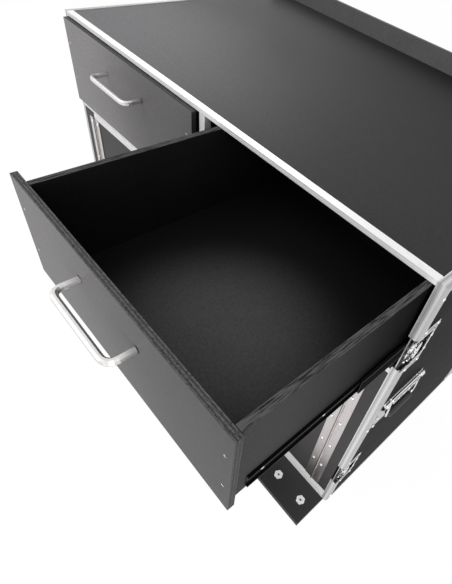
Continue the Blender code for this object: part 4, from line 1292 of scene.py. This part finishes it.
class CASE_OT_studio(bpy.types.Operator):
    """Set the camera, the floor and the soft lights."""
    bl_idname = "flight_case.studio"
    bl_label = "Studio"
    bl_options = {"REGISTER", "UNDO"}

    def execute(self, context):
        scene = context.scene
        _, _, studio = settings()
        scene.view_settings.view_transform = "Standard"
        self.add_camera(scene)
        self.add_floor(scene, studio)
        self.add_world(scene, studio)
        self.add_light(scene, "key_light", studio.key)
        self.add_light(scene, "fill_light", studio.fill)
        self.add_light(scene, "sheen_light", studio.sheen)
        self.add_light(scene, "low_light", studio.low)
        return {"FINISHED"}

    def add_camera(self, scene):
        """The photograph's camera, placed from the worktop trim's front right corner."""
        camera = bpy.data.cameras.new("camera")
        longest = max(PHOTO_SIZE)
        camera.sensor_width = SENSOR_WIDTH
        camera.lens = SENSOR_WIDTH * PHOTO_FOCAL / longest
        camera.shift_x = (PHOTO_SIZE[0] / 2 - PHOTO_CENTRE[0]) / longest
        camera.shift_y = (PHOTO_CENTRE[1] - PHOTO_SIZE[1] / 2) / longest
        camera.clip_end = 50.0
        turn = Vector(CAMERA_TURN)
        view = Matrix.Rotation(turn.length, 3, turn.normalized())
        obj = bpy.data.objects.new("camera", camera)
        scene.collection.objects.link(obj)
        lip_low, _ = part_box("worktop_trim")
        corner = Vector((HALF_WIDTH - CAMERA_CORNER_INSET, lip_low.y, lip_low.z))
        axes = Matrix((view[0], -view[1], -view[2])).transposed()
        obj.matrix_world = Matrix.Translation(corner + Vector(CAMERA_FROM_CORNER)) @ axes.to_4x4()
        scene.camera = obj

    def add_floor(self, scene, studio):
        """A pale floor that looks nearly white and keeps the object's shadow."""
        bm = bmesh.new()
        bmesh.ops.create_grid(bm, x_segments=1, y_segments=1, size=12.0)
        mesh = bpy.data.meshes.new("floor")
        bm.to_mesh(mesh)
        bm.free()
        floor = bpy.data.objects.new("floor", mesh)
        scene.collection.objects.link(floor)
        finish = Finish("floor", Roughness=0.9, Specular_IOR_Level=0.1)
        cloud = finish.noise(finish.place, 2.0, 2.0)
        finish.feed(Base_Color=finish.mix(cloud, shade(studio.floor, 0.985), tuple(studio.floor)))
        mesh.materials.append(finish.material)
        glow = finish.add("ShaderNodeEmission", None, {"Color": WHITE, "Strength": FLOOR_WHITE})
        blend = finish.add("ShaderNodeMixShader", None, {0: finish.seen_rays() * FLOOR_SHARE})
        finish.join(finish.shader.outputs[0], blend.inputs[1])
        finish.join(glow.outputs[0], blend.inputs[2])
        finish.join(blend.outputs[0], finish.output.inputs[0])

    def add_world(self, scene, studio):
        """Light from all round, which looks white where it is seen."""
        world = bpy.data.worlds.new("studio")
        world.use_nodes = True
        scene.world = world
        tree = Tree(world.node_tree)
        strength = tree.seen_rays() * (1.0 - studio.surround) + studio.surround
        back = tree.add("ShaderNodeBackground", None, {"Color": WHITE, "Strength": strength})
        output = tree.add("ShaderNodeOutputWorld")
        tree.join(back.outputs[0], output.inputs[0])

    def add_light(self, scene, name, power):
        """A square soft light that points at a target."""
        place, target, size = LIGHTS[name]
        light = bpy.data.lights.new(name, "AREA")
        light.energy = power
        light.size = size
        obj = bpy.data.objects.new(name, light)
        obj.location = place
        obj.rotation_euler = (Vector(target) - Vector(place)).to_track_quat("-Z", "Y").to_euler()
        scene.collection.objects.link(obj)


class CASE_PT_panel(bpy.types.Panel):
    """Lists the operators that dress the case."""
    bl_idname = "CASE_PT_panel"
    bl_label = "Flight Case"
    bl_space_type = "VIEW_3D"
    bl_region_type = "UI"
    bl_category = "Flight Case"

    def draw(self, context):
        """A button for each operator, with the settings under them."""
        layout = self.layout
        for operator in OPERATORS:
            layout.operator(operator.bl_idname)
        for group in (context.scene.case_finishes, context.scene.case_fittings, context.scene.case_studio):
            column = layout.column()
            for name in group.__annotations__:
                column.prop(group, name)


OPERATORS = (CASE_OT_panels, CASE_OT_trims, CASE_OT_drawers, CASE_OT_slides, CASE_OT_hinges, CASE_OT_latches,
             CASE_OT_side_handles, CASE_OT_base, CASE_OT_casters, CASE_OT_cover, CASE_OT_studio)
CLASSES = (CaseFinishes, CaseFittings, CaseStudio, *OPERATORS, CASE_PT_panel)


def register():
    """Register the add-on's classes, and keep its settings in the scene."""
    for kind in CLASSES:
        bpy.utils.register_class(kind)
    bpy.types.Scene.case_finishes = PointerProperty(type=CaseFinishes)
    bpy.types.Scene.case_fittings = PointerProperty(type=CaseFittings)
    bpy.types.Scene.case_studio = PointerProperty(type=CaseStudio)


def unregister():
    """Take the add-on's settings and classes away again."""
    del bpy.types.Scene.case_studio
    del bpy.types.Scene.case_fittings
    del bpy.types.Scene.case_finishes
    for kind in reversed(CLASSES):
        bpy.utils.unregister_class(kind)


def main():
    """Dress the case with every operator in turn."""
    register()
    bpy.ops.flight_case.panels()
    bpy.ops.flight_case.trims()
    bpy.ops.flight_case.drawers()
    bpy.ops.flight_case.slides()
    bpy.ops.flight_case.hinges()
    bpy.ops.flight_case.latches()
    bpy.ops.flight_case.side_handles()
    bpy.ops.flight_case.base()
    bpy.ops.flight_case.casters()
    bpy.ops.flight_case.cover()
    bpy.ops.flight_case.studio()


if __name__ == "__main__":
    main()
